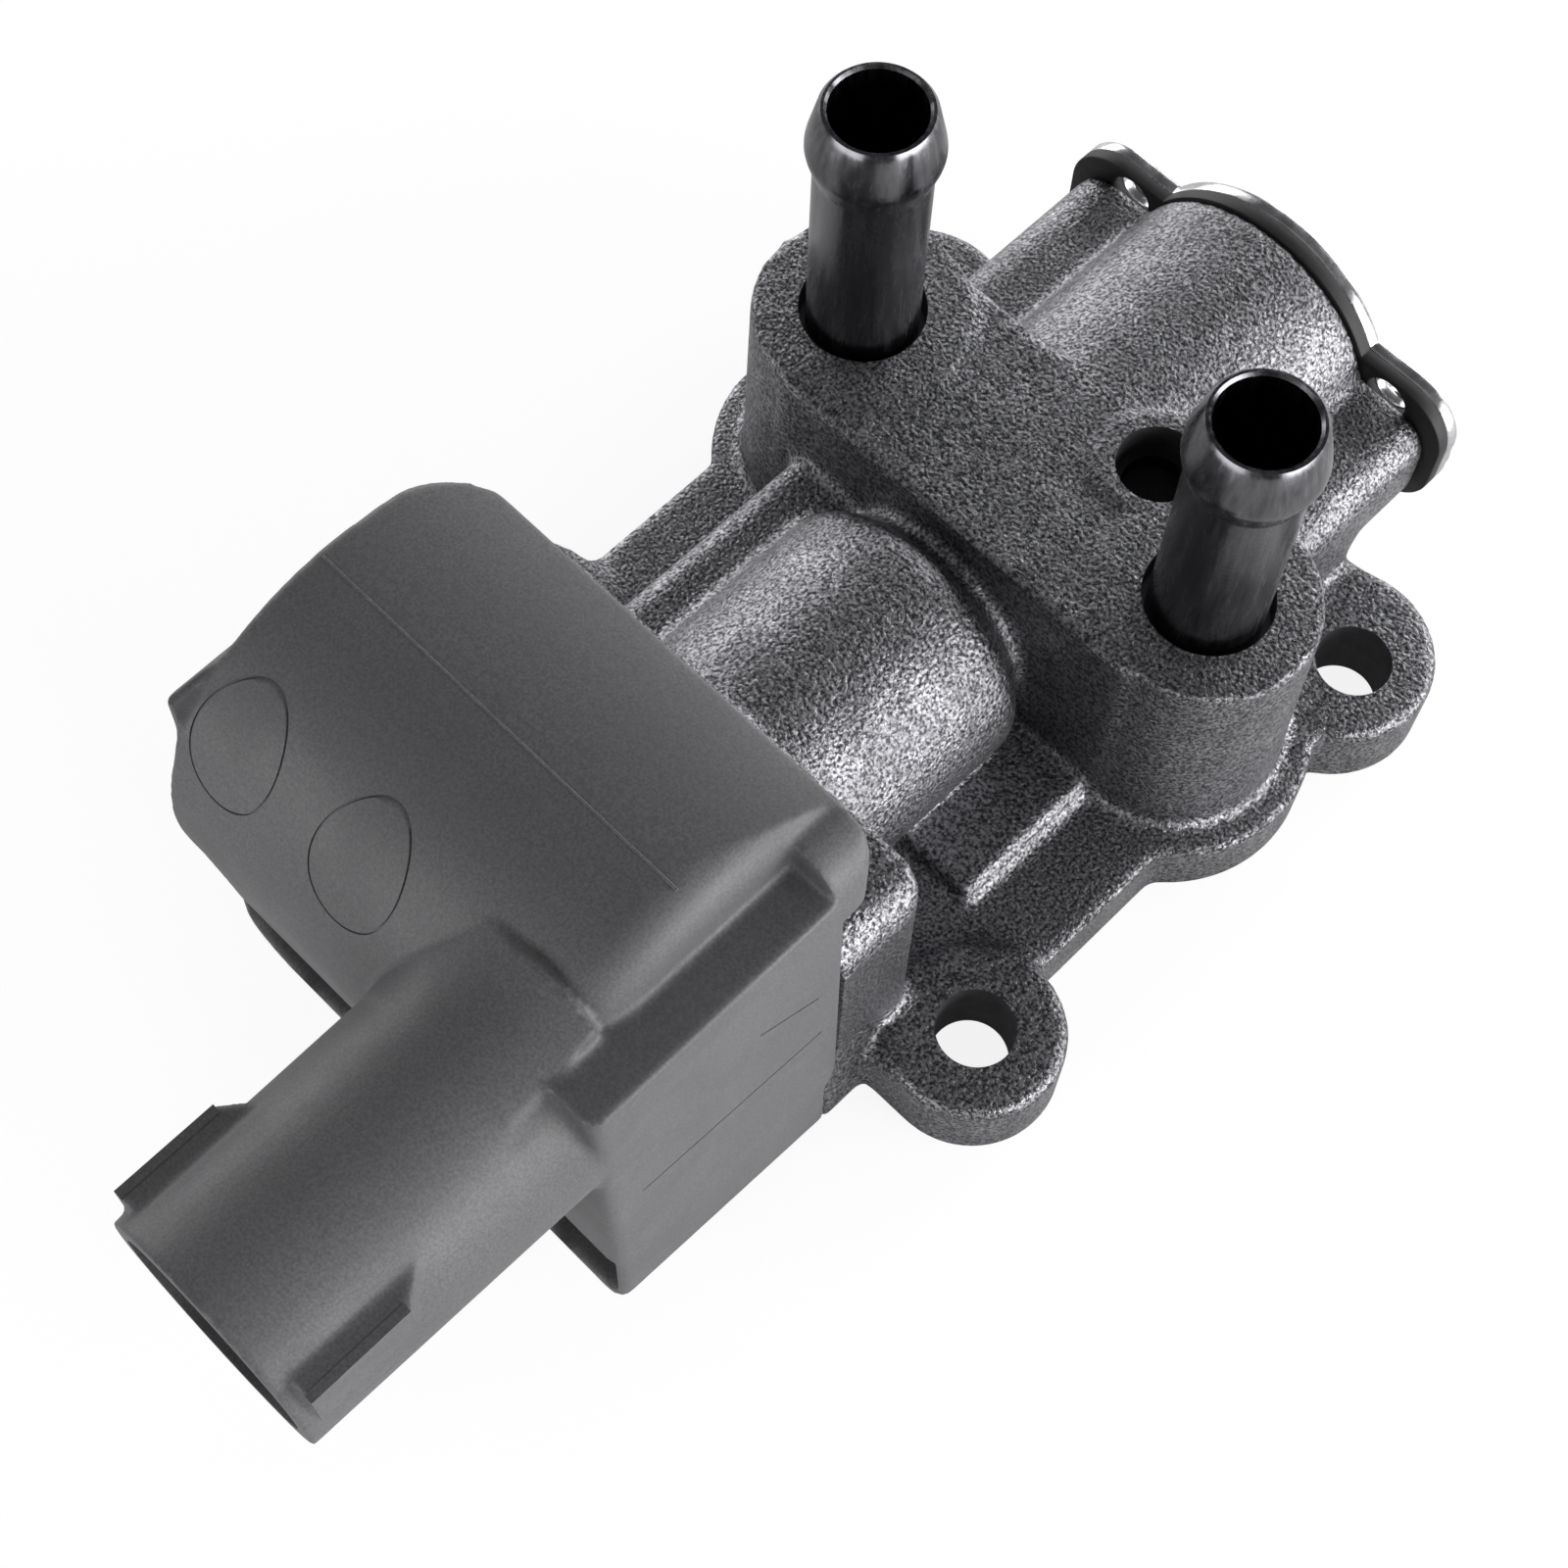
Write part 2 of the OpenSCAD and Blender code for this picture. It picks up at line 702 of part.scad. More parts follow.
// Block under the crown, its underside rising towards the front
module housing_block(x0, x1, z1) {
    slope = atan2(belly_rise, plate_front_y - house_front_y);
    intersection() {
        translate([x0, house_front_y, 0])
            cube([x1 - x0, plate_front_y - house_front_y, z1]);
        drafted_walls();
        translate([0, plate_front_y, house_low_z])
            rotate([-slope, 0, 0])
                along_y(2 * (house_front_y - plate_front_y), 2 * base_t)
                    rounded(house_left_x, house_x, 0, z1 + base_t,
                            [belly_left_r, belly_r, 0, 0]);
    }
}

module housing_shell() {
    crown();
    housing_block(house_left_x, crown_left_x + wall_lap, ledge_left_z);
    housing_block(crown_left_x, crown_right_x, rim_low_z);
    housing_block(crown_right_x, house_x, ledge_z);
    // Rear rim over the ledges
    intersection() {
        along_y(house_rear_y - rim_t, house_rear_y)
            rounded(rim_left_x, rim_right_x, rim_low_z - 1, crown_rear_z,
                    [rim_foot_round, rim_foot_round, rim_top_right, rim_top_left]);
        linear_extrude(crown_z)
            rounded(rim_left_x, rim_right_x, house_front_y, house_rear_y,
                    [0, 0, rim_round, rim_round_left]);
    }
    // Plug socket
    translate([socket_x, socket_y, socket_z])
        rotate([-90, 0, 0])
            cylinder(r1 = socket_r, r2 = socket_root_r, h = crown_front_y + shoulder_r / 2 - socket_y);
    latch_wings();
    socket_flare();
}

// Flat-topped wings on both sides of the socket, which the plug's latch grips
module latch_wings() {
    latch_x = latch_reach - 0.8 * latch_taper;
    translate([socket_x, socket_y + latch_lip, socket_z])
        linear_extrude(latch_z)
            polygon([[-latch_reach, 0], [latch_reach, 0], [latch_reach, latch_len - latch_taper],
                     [latch_x, latch_len], [-latch_x, latch_len],
                     [-latch_reach, latch_len - latch_taper]]);
}

// Flare where the socket runs into the crown, hollow-sided
module socket_flare() {
    gain = flare_r - socket_root_r;
    hollow_r = (gain * gain + flare_len * flare_len) / (2 * gain);
    start_y = crown_front_y - 0.5;
    intersection() {
        translate([socket_x, start_y, socket_z])
            rotate([-90, 0, 0])
                rotate_extrude($fn = 120)
                    difference() {
                        square([flare_r, flare_len]);
                        translate([socket_root_r + hollow_r, 0]) circle(r = hollow_r, $fn = 360);
                    }
        translate([0, start_y, socket_z - flare_r])
            cube([crown_right_x, flare_len, 2 * flare_r]);
    }
}

module housing_cuts() {
    // Socket
    rod_y(socket_x, socket_z, socket_bore_r, socket_y - 1, socket_floor_y);
    // Screw pockets under the crown's front
    along_y(crown_front_y - 1, house_front_y + recess_depth) {
        rounded(recess_in_x, house_x - recess_lip, recess_low_z, crown_low_z,
                [4.5, belly_r - recess_lip, 0, 4.5]);
        rounded(house_left_x + recess_lip, -recess_in_x, recess_low_z, crown_low_z,
                [belly_left_r - recess_lip, 4.5, 4.5, 0]);
    }
    // Room for the casting's lugs
    both_sides()
        translate([lug_in_x - fit_gap, plate_front_y - foot_reach - fit_gap, -1])
            cube([house_x - lug_in_x + 2, foot_reach + fit_gap + 1, foot_z + fit_gap + 1]);
    // Room for the rotor, the front bearing and the casting's spigot
    rod_y(0, axis_z, cavity_r, cavity_front_y, plate_front_y + 1);
    rod_y(0, axis_z, bush_r, cavity_front_y - bush_len, plate_front_y);
    rod_y(0, axis_z, spigot_r + 0.2, plate_front_y - spigot_len - fit_gap, plate_front_y + 1);
    // Room for the stator, the coil and the terminals
    stator_solid();
    winding_room();
    terminals();
    // Screws of the housing, in pockets under the front
    for (side = [-1, 1]) {
        rod_y(side * house_screw_x, house_screw_z, house_screw_r + 0.2, house_front_y - 1,
              plate_front_y + 1);
        rod_y(side * house_screw_x, house_screw_z, house_screw_head_r + 0.3, crown_front_y - 1,
              plate_front_y - base_t);
    }
}

module solenoid_housing() {
    color("#3c3c3d")
        difference() {
            housing_shell();
            housing_cuts();
        }
}

module terminals() {
    for (i = [-1, 0, 1])
        translate([socket_x + i * pin_pitch - pin_w / 2, socket_floor_y - pin_len,
                   socket_z - pin_t / 2])
            cube([pin_w, pin_len + 6.5, pin_t]);
}

module socket_terminals() { color("#c2a24a") terminals(); }

// Laminated core: a bar through the coil, two legs and the pole shoes round the magnet
module stator_solid() {
    y0 = stator_y - stator_len / 2;
    along_y(y0, y0 + stator_len)
        difference() {
            union() {
                translate([-stator_x, coil_z - bar_h / 2]) square([2 * stator_x, bar_h]);
                for (side = [-1, 1]) {
                    translate([side * (stator_x - leg_t / 2) - leg_t / 2, axis_z - shoe_h])
                        square([leg_t, coil_z + bar_h / 2 - axis_z + shoe_h]);
                    translate([side > 0 ? shoe_h / 2 : -stator_x, axis_z - shoe_h])
                        square([stator_x - shoe_h / 2, 2 * shoe_h]);
                }
            }
            translate([0, axis_z]) circle(r = cavity_r);
        }
}

module stator_core() { color("#6d6f73") stator_solid(); }

// Section of the winding room round the bar, grown by g, drawn in Y and Z
module bar_section(g, r) {
    rounded(stator_y - stator_len / 2 - g, stator_y + stator_len / 2 + g,
            coil_z - bar_h / 2 - g, coil_z + bar_h / 2 + g, [r, r, r, r]);
}

module bobbin() {
    flange_hx = winding_hx + bobbin_t;
    color("#d8d3c4")
        difference() {
            union() {
                along_x(-flange_hx, flange_hx) bar_section(bobbin_t, 0);
                for (side = [-1, 1])
                    along_x(side > 0 ? winding_hx : -flange_hx, side > 0 ? flange_hx : -winding_hx)
                        bar_section(1.9, 1.5);
            }
            along_x(-stator_x, stator_x) bar_section(0, 0);
        }
}

module coil() {
    color("#a4552a")
        along_x(-winding_hx, winding_hx)
            difference() {
                bar_section(1.5, 1.2);
                bar_section(bobbin_t, 0);
            }
}

module winding_room() {
    bobbin();
    coil();
}

module rotor_magnet() {
    color("#2b2b2e")
        difference() {
            rod_y(0, axis_z, magnet_r, stator_y - stator_len / 2, stator_y + stator_len / 2);
            rod_y(0, axis_z, hub_r, stator_y - stator_len, stator_y + stator_len);
        }
}

module rotor_hub() {
    color("#b58b3c")
        difference() {
            rod_y(0, axis_z, hub_r, stator_y - stator_len / 2, stator_y + stator_len / 2);
            rod_y(0, axis_z, shaft_r, stator_y - stator_len, stator_y + stator_len);
        }
}

module shaft() {
    color("#b9babd")
        rod_y(0, axis_z, shaft_r, cavity_front_y - bush_len + 0.5, lever_y + lever_t);
}

// Sector of a disc about the shutter's axis, from angle a0 to a1 measured from straight down
// towards +X, drawn in X and Z
module sector(a0, a1, r) {
    mid = (a0 + a1) / 2;
    translate([0, axis_z])
        polygon([[0, 0], for (a = [a0, mid, a1]) 2 * r * [sin(a), -cos(a)]]);
}

module rotary_shutter() {
    web_t = 1.4;
    spoke_t = 2;
    color("#8d8f94")
        difference() {
            union() {
                along_y(shutter_y, shutter_y + shutter_len)
                    difference() {
                        intersection() {
                            translate([0, axis_z]) circle(r = shutter_r);
                            sector(0, shutter_arc, shutter_r);
                        }
                        translate([0, axis_z]) circle(r = shutter_r - shutter_wall);
                    }
                rod_y(0, axis_z, hub_r, shutter_y, shutter_y + shutter_len);
                for (y = [shutter_y, shutter_y + shutter_len - web_t])
                    along_y(y, y + web_t)
                        intersection() {
                            translate([0, axis_z]) circle(r = shutter_r);
                            sector(0, shutter_arc, shutter_r);
                        }
                along_y(shutter_y, shutter_y + shutter_len)
                    translate([0, axis_z])
                        rotate(shutter_arc / 2)
                            translate([-spoke_t / 2, 1 - shutter_r])
                                square([spoke_t, shutter_r - 1]);
            }
            rod_y(0, axis_z, shaft_r, shutter_y - 1, shutter_y + shutter_len + 1);
        }
}

// Lever on the end of the shaft, whose pin works in the guard's slot
module stop_lever() {
    color("#9a9ca1")
        difference() {
            union() {
                rod_y(0, axis_z, hub_r - 0.4, lever_y, lever_y + lever_t);
                translate([-1.2, lever_y, axis_z]) cube([2.4, lever_t, pin_orbit]);
                rod_y(0, axis_z + pin_orbit, 1.2, lever_y, lever_y + lever_t);
                rod_y(0, axis_z + pin_orbit, pin_r, lever_y, guard_y + guard_t - fit_gap);
            }
            rod_y(0, axis_z, shaft_r, lever_y - 1, lever_y + lever_t + 1);
        }
}

module front_bearing() {
    color("#a88a4c")
        difference() {
            rod_y(0, axis_z, bush_r, cavity_front_y - bush_len, cavity_front_y);
            rod_y(0, axis_z, shaft_r + run_clear, cavity_front_y - bush_len - 1,
                  cavity_front_y + 1);
        }
}

module rear_bearing() {
    color("#a9abb0")
        difference() {
            rod_y(0, axis_z, bore_r, bearing_y, bearing_y + bearing_t);
            rod_y(0, axis_z, shaft_r + run_clear, bearing_y - 1, bearing_y + bearing_t + 1);
        }
}

module shaft_seal() {
    color("#1a1a1b")
        difference() {
            rod_y(0, axis_z, bush_r, plate_front_y - spigot_len, plate_front_y);
            rod_y(0, axis_z, shaft_r + run_clear, plate_front_y - spigot_len - 1,
                  plate_front_y + 1);
        }
}

module housing_seal() {
    color("#19191a")
        turned()
            translate([spigot_r + 0.2 - seal_wire_r, plate_front_y - (seal_far + seal_near) / 2])
                circle(r = seal_wire_r);
}

module housing_screws() {
    color("#9fa1a6")
        for (side = [-1, 1])
            translate([side * house_screw_x, plate_front_y - base_t, house_screw_z])
                mirror([0, 1, 0])
                    pan_screw(house_screw_r, house_screw_head_r, house_screw_head_h,
                              base_t + house_thread_len - fit_gap);
}

// Guard plate: its slot lets the lever's pin swing through the travel
module bimetal_guard() {
    pin_angle = asin(pin_r / pin_orbit);
    reach = travel + pin_angle + 3.5;
    up = 180;
    color("#a3a5aa")
        along_y(guard_y, guard_y + guard_t)
            difference() {
                translate([0, axis_z]) circle(r = bore_r - 0.2);
                translate([0, axis_z]) circle(r = shaft_r + 0.6);
                intersection() {
                    translate([0, axis_z])
                        difference() {
                            circle(r = pin_orbit + pin_r + slot_gap);
                            circle(r = pin_orbit - pin_r - slot_gap);
                        }
                    sector(up - reach, up + reach, bore_r);
                }
            }
}

function spiral(t, r0) = (r0 + (strip_out_r - strip_in_r) * t) * [cos(360 * strip_turns * t),
                                                               sin(360 * strip_turns * t)];

// Bimetal strip wound from the cover's post out to the guard
module bimetal_coil() {
    steps = 60;
    color("#b98d5a")
        along_y(strip_y, strip_y + strip_w)
            translate([0, axis_z])
                polygon([for (i = [0:steps]) spiral(i / steps, strip_in_r - strip_t),
                         for (i = [steps:-1:0]) spiral(i / steps, strip_in_r)]);
}

valve_body();
nipple_left();
nipple_right();
core_plug();
end_cover();
cover_gasket();
cover_screws();
cover_washers();
solenoid_housing();
socket_terminals();
stator_core();
bobbin();
coil();
rotor_magnet();
rotor_hub();
shaft();
rotary_shutter();
stop_lever();
front_bearing();
rear_bearing();
shaft_seal();
housing_seal();
housing_screws();
bimetal_guard();
bimetal_coil();
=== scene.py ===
"""Looks of an idle air control valve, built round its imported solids."""

import math

import bmesh
import bpy
from mathutils import Matrix, Vector


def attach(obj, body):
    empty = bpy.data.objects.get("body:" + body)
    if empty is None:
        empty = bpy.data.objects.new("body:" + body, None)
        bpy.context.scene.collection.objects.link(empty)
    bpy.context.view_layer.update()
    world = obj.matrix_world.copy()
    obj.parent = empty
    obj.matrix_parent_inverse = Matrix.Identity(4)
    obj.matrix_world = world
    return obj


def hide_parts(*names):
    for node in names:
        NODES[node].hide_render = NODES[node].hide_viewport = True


bl_info = {
    "name": "Idle air control valve",
    "version": (1, 0, 0),
    "blender": (4, 5, 0),
    "location": "View3D > Sidebar > Valve",
    "description": "Dresses the solids of an idle air control valve in cast, moulded and turned finishes",
    "category": "Object",
}

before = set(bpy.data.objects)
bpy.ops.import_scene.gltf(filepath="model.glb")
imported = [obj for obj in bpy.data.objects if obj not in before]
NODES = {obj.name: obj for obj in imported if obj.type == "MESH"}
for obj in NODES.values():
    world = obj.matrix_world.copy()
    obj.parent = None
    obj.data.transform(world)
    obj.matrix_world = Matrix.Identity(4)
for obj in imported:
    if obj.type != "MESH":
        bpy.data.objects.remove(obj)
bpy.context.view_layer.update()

MM = 0.001
AXIS_Z = 14.8
NIPPLE_X = 18.7
PAD_TOP_Z = 27.85
BOLTS = [(26.4, -32.1), (-26.4, -32.1), (26.4, 14.9), (-26.4, 14.9)]
COVER_SCREW = (16.2, 32.8, 13.0)
HOUSING_SCREW = (15.0, -50.3, 6.4)
SOCKET = (11.2, 36.0)
SHOULDER = (-51.7, 32.5)
SHOULDER_R = 18.0
RING_DEPTH = 0.15
CROWN_LEFT_X = -20.9
LEDGE_LEFT_Z = 46.4
PLUG = (8.1, 6.1)


# ---- colours and nodes


def linear(value):
    """A #rrggbb sRGB colour as linear RGBA."""
    parts = [int(value[i : i + 2], 16) / 255 for i in (1, 3, 5)]
    return tuple(c / 12.92 if c <= 0.04045 else ((c + 0.055) / 1.055) ** 2.4 for c in parts) + (1.0,)


def add(tree, kind, settings=None, inputs=None):
    """A new node with its settings, and its inputs set or linked."""
    made = tree.nodes.new(kind)
    for key, value in (settings or {}).items():
        setattr(made, key, value)
    for key, value in (inputs or {}).items():
        if isinstance(value, bpy.types.NodeSocket):
            tree.links.new(value, made.inputs[key])
        else:
            made.inputs[key].default_value = value
    return made


def material(name, build):
    """A procedural material whose surface shader comes from build(tree, object coordinates)."""
    found = bpy.data.materials.get(name)
    if found:
        return found
    made = bpy.data.materials.new(name)
    made.use_nodes = True
    tree = made.node_tree
    tree.nodes.clear()
    place = add(tree, "ShaderNodeTexCoord").outputs["Object"]
    shader = build(tree, place)
    add(tree, "ShaderNodeOutputMaterial", inputs={"Surface": shader})
    return made


def per_mm(size):
    """Texture scale at which a feature is about size millimetres wide."""
    return 1 / (size * MM)


def noise(tree, place, size, detail=2.0, rough=0.5, distort=0.0):
    return add(
        tree,
        "ShaderNodeTexNoise",
        inputs={
            "Vector": place,
            "Scale": per_mm(size),
            "Detail": detail,
            "Roughness": rough,
            "Distortion": distort,
        },
    ).outputs["Fac"]


def between(tree, fac, low, high, start=0.35, end=0.65):
    """Value from low to high as fac goes from start to end."""
    return add(
        tree,
        "ShaderNodeMapRange",
        inputs={"Value": fac, "From Min": start, "From Max": end, "To Min": low, "To Max": high},
    ).outputs["Result"]


def blend(tree, fac, one, two):
    """Colour from one to two as fac goes from 0 to 1."""
    made = add(tree, "ShaderNodeMix", {"data_type": "RGBA"}, {0: fac})
    for socket, value in ((6, one), (7, two)):
        if isinstance(value, bpy.types.NodeSocket):
            tree.links.new(value, made.inputs[socket])
        else:
            made.inputs[socket].default_value = value
    return made.outputs[2]


def sums(tree, operation, one, two):
    return add(tree, "ShaderNodeMath", {"operation": operation}, {0: one, 1: two}).outputs[0]


def bump(tree, height, depth_mm, strength=1.0):
    return add(
        tree,
        "ShaderNodeBump",
        inputs={"Height": height, "Distance": depth_mm * MM, "Strength": strength},
    ).outputs["Normal"]


def principled(tree, **inputs):
    named = {key.replace("_", " "): value for key, value in inputs.items()}
    return add(tree, "ShaderNodeBsdfPrincipled", inputs=named).outputs["BSDF"]


# ---- materials


def blasted_die_cast_aluminium(tree, place):
    """Shot-blasted casting: coarse bright grain on a dull dark grey."""
    look = bpy.context.scene.valve_finish
    shot = add(
        tree,
        "ShaderNodeTexVoronoi",
        {"feature": "SMOOTH_F1"},
        {"Vector": place, "Scale": per_mm(0.42), "Smoothness": 0.35, "Randomness": 1.0},
    ).outputs["Distance"]
    grit = noise(tree, place, 0.3, 3.0, 0.65)
    patches = noise(tree, place, 3.5, 3.0, 0.55)
    height = sums(tree, "ADD", sums(tree, "MULTIPLY", shot, 0.55), grit)
    grain = bump(tree, height, look.grain_depth / MM, 1.0)
    low, high = (*look.casting_low, 1), (*look.casting_high, 1)
    tone = blend(tree, between(tree, grit, 0.0, 1.0, 0.4, 0.62), low, high)
    worn = blend(tree, between(tree, patches, 0.0, 0.35), tone, low)
    return principled(
        tree,
        Base_Color=worn,
        Metallic=1.0,
        Roughness=between(tree, patches, 0.36, 0.46),
        Normal=grain,
    )


def bored_die_cast_aluminium(tree, place):
    """Drilled and bored faces of the casting: smooth grey with faint tool rings."""
    rings = add(
        tree,
        "ShaderNodeTexWave",
        {"wave_type": "BANDS", "bands_direction": "Z"},
        {"Vector": place, "Scale": per_mm(0.35) / 6.283, "Distortion": 0.6, "Detail": 1.0},
    ).outputs["Fac"]
    tone = blend(tree, noise(tree, place, 1.2, 3.0), linear("#77777A"), linear("#A2A2A5"))
    return principled(
        tree,
        Base_Color=tone,
        Metallic=1.0,
        Roughness=0.42,
        Normal=bump(tree, rings, 0.01, 0.5),
    )


def moulded_glass_filled_nylon(tree, place):
    """Dark glass-filled nylon with the fine matte grain of its mould."""
    look = bpy.context.scene.valve_finish
    grain = noise(tree, place, 0.22, 3.0, 0.6)
    flow = noise(tree, place, 9.0, 2.0, 0.5, 0.6)
    tone = blend(tree, between(tree, grain, 0.0, 1.0), (*look.housing_low, 1), (*look.housing_high, 1))
    tone = blend(tree, between(tree, flow, 0.0, 0.3), tone, (*look.housing_low, 1))
    return principled(
        tree,
        Base_Color=tone,
        Roughness=between(tree, flow, 0.5, 0.58),
        IOR=1.5,
        Normal=bump(tree, grain, 0.012, 1.0),
    )


def turned_dark_steel(tree, place):
    """Turned tube with a dark passivated skin: near mirror, with faint rings and lengthwise rub marks."""
    rings = add(
        tree,
        "ShaderNodeTexWave",
        {"wave_type": "BANDS", "bands_direction": "Z"},
        {"Vector": place, "Scale": per_mm(0.3) / 6.283, "Distortion": 1.5, "Detail": 2.0},
    ).outputs["Fac"]
    lengthwise = {"Vector": place, "Scale": (1.0, 1.0, 0.12)}
    stretched = add(tree, "ShaderNodeMapping", inputs=lengthwise).outputs["Vector"]
    rub = noise(tree, stretched, 0.7, 4.0, 0.6)
    tone = blend(tree, between(tree, rub, 0.0, 1.0), linear("#5E5E61"), linear("#77777B"))
    return principled(
        tree,
        Base_Color=tone,
        Metallic=1.0,
        Roughness=between(tree, rub, 0.2, 0.3),
        Normal=bump(tree, rings, 0.004, 0.35),
    )


def zinc_plated_steel(tree, place):
    """Bright zinc plate on pressed and headed steel, a little cloudy."""
    cloud = noise(tree, place, 1.8, 4.0, 0.6)
    tone = blend(tree, between(tree, cloud, 0.0, 1.0), linear("#BDBDC0"), linear("#D6D6D8"))
    return principled(
        tree,
        Base_Color=tone,
        Metallic=1.0,
        Roughness=between(tree, cloud, 0.2, 0.32),
        Normal=bump(tree, noise(tree, place, 0.3, 2.0), 0.004, 0.6),
    )


def nitrile_rubber(tree, place):
    """Black seal rubber: matte, with a faint moulded grain."""
    grain = noise(tree, place, 0.3, 3.0)
    tone = blend(tree, grain, linear("#161617"), linear("#222223"))
    return principled(tree, Base_Color=tone, Roughness=0.6, Normal=bump(tree, grain, 0.01, 0.6))


def blackened_steel_and_recess_shade(tree, place):
    """Blackened cup plug, satin; also the near-black painted shade inside the screws' cross recesses."""
    tone = blend(tree, noise(tree, place, 0.8, 3.0), linear("#1B1B1C"), linear("#343436"))
    return principled(tree, Base_Color=tone, Metallic=0.8, Roughness=0.4)


def stamped_tinned_brass(tree, place):
    """Stamped brass under a thin tin coat: warm and satin."""
    cloud = noise(tree, place, 0.9, 3.0)
    tone = blend(tree, cloud, linear("#B59A5C"), linear("#CDBB8A"))
    return principled(tree, Base_Color=tone, Metallic=1.0, Roughness=between(tree, cloud, 0.25, 0.36))


def laminated_core_steel(tree, place):
    """Stacked electrical steel: thin bands along the stack."""
    bands = add(
        tree,
        "ShaderNodeTexWave",
        {"wave_type": "BANDS", "bands_direction": "Y"},
        {"Vector": place, "Scale": per_mm(0.5) / 6.283},
    ).outputs["Fac"]
    tone = blend(tree, bands, linear("#5A5B5F"), linear("#8B8C90"))
    edges = bump(tree, bands, 0.02, 0.8)
    return principled(tree, Base_Color=tone, Metallic=1.0, Roughness=0.45, Normal=edges)


def moulded_polyester_bobbin(tree, place):
    """Pale moulded polyester of the coil former."""
    tone = blend(tree, noise(tree, place, 1.5, 3.0), linear("#D8D2C2"), linear("#E2DDD0"))
    return principled(tree, Base_Color=tone, Roughness=0.5)


def enamelled_copper_wire(tree, place):
    """Wound enamelled wire, 0.2 mm thick: glossy ridges round the coil."""
    wires = add(
        tree,
        "ShaderNodeTexWave",
        {"wave_type": "BANDS", "bands_direction": "X"},
        {"Vector": place, "Scale": per_mm(0.2) / 6.283},
    ).outputs["Fac"]
    tone = blend(tree, wires, linear("#6E2E14"), linear("#C0703C"))
    return principled(
        tree,
        Base_Color=tone,
        Metallic=0.7,
        Roughness=0.28,
        Normal=bump(tree, wires, 0.08, 1.0),
    )


def sintered_ferrite(tree, place):
    """Sintered magnet: dull charcoal with fine pores."""
    pores = noise(tree, place, 0.25, 3.0, 0.7)
    tone = blend(tree, pores, linear("#232326"), linear("#3A3A3E"))
    return principled(tree, Base_Color=tone, Roughness=0.65, Normal=bump(tree, pores, 0.02, 0.8))


def ground_steel(tree, place):
    """Ground shaft steel: bright, with fine lay."""
    lay = noise(tree, place, 0.4, 4.0, 0.6)
    tone = blend(tree, lay, linear("#B4B5B8"), linear("#CFD0D2"))
    return principled(tree, Base_Color=tone, Metallic=1.0, Roughness=between(tree, lay, 0.16, 0.26))


def machined_shutter_metal(tree, place):
    """Machined shutter: satin grey with tool lines along the valve."""
    lines = noise(tree, place, 0.5, 3.0)
    tone = blend(tree, lines, linear("#85878C"), linear("#A3A5AA"))
    return principled(tree, Base_Color=tone, Metallic=1.0, Roughness=0.34)


def rolled_bimetal(tree, place):
    """Rolled bimetal strip, straw and copper tinted."""
    tint = noise(tree, place, 1.4, 3.0)
    tone = blend(tree, tint, linear("#B08F5E"), linear("#C9A67A"))
    return principled(tree, Base_Color=tone, Metallic=1.0, Roughness=0.3)


INNER_FINISH = {
    "core_plug": blackened_steel_and_recess_shade,
    "socket_terminals": stamped_tinned_brass,
    "stator_core": laminated_core_steel,
    "bobbin": moulded_polyester_bobbin,
    "coil": enamelled_copper_wire,
    "rotor_magnet": sintered_ferrite,
    "rotor_hub": stamped_tinned_brass,
    "shaft": ground_steel,
    "rotary_shutter": machined_shutter_metal,
    "stop_lever": ground_steel,
    "front_bearing": stamped_tinned_brass,
    "rear_bearing": ground_steel,
    "shaft_seal": nitrile_rubber,
    "housing_seal": nitrile_rubber,
    "bimetal_guard": ground_steel,
    "bimetal_coil": rolled_bimetal,
}


def named(build):
    return material(build.__name__, build)


# ---- mesh tools


def along(axis, x, y, z):
    """Matrix that puts the middle of a Z-long shape at (x, y, z) mm, its length along axis."""
    turns = {
        "X": Matrix.Rotation(math.pi / 2, 4, "Y"),
        "Y": Matrix.Rotation(-math.pi / 2, 4, "X"),
        "Z": Matrix(),
    }
    return Matrix.Translation(Vector((x, y, z)) * MM) @ turns[axis]


def rod(bm, axis, centre, start, end, r1, r2=None, segments=96):
    """Closed cylinder or cone between start and end along axis; centre gives the other two places, in mm."""
    middle = list(centre)
    middle.insert("XYZ".index(axis), (start + end) / 2)
    bmesh.ops.create_cone(
        bm,
        cap_ends=True,
        segments=segments,
        radius1=r1 * MM,
        radius2=(r1 if r2 is None else r2) * MM,
        depth=(end - start) * MM,
        matrix=along(axis, *middle),
    )


def block(bm, x, y, z):
    """Closed box over the three ranges, in mm."""
    middle = Vector([(a + b) / 2 for a, b in (x, y, z)]) * MM
    sides = [(b - a) * MM for a, b in (x, y, z)]
    bmesh.ops.create_cube(bm, size=1.0, matrix=Matrix.Translation(middle) @ Matrix.Diagonal((*sides, 1.0)))


def bar(bm, start, end, width, depth):
    """Closed bar between two points on a wall that faces X, in mm."""
    run = Vector(end) - Vector(start)
    turn = Matrix.Rotation(math.atan2(run.z, run.y), 4, "X")
    middle = (Vector(start) + Vector(end)) / 2 * MM
    size = Matrix.Diagonal((depth * MM, run.length * MM, width * MM, 1.0))
    bmesh.ops.create_cube(bm, size=1.0, matrix=Matrix.Translation(middle) @ turn @ size)


def copied(node):
    """A CAD node's mesh with its loose triangles joined."""
    bm = bmesh.new()
    bm.from_mesh(NODES[node].data)
    bmesh.ops.remove_doubles(bm, verts=bm.verts, dist=1e-7)
    return bm


def piece(bm, name, finish):
    """The bmesh as an object at the origin."""
    mesh = bpy.data.meshes.new(name)
    bm.to_mesh(mesh)
    bm.free()
    made = bpy.data.objects.new(name, mesh)
    mesh.materials.append(named(finish))
    bpy.context.scene.collection.objects.link(made)
    return made


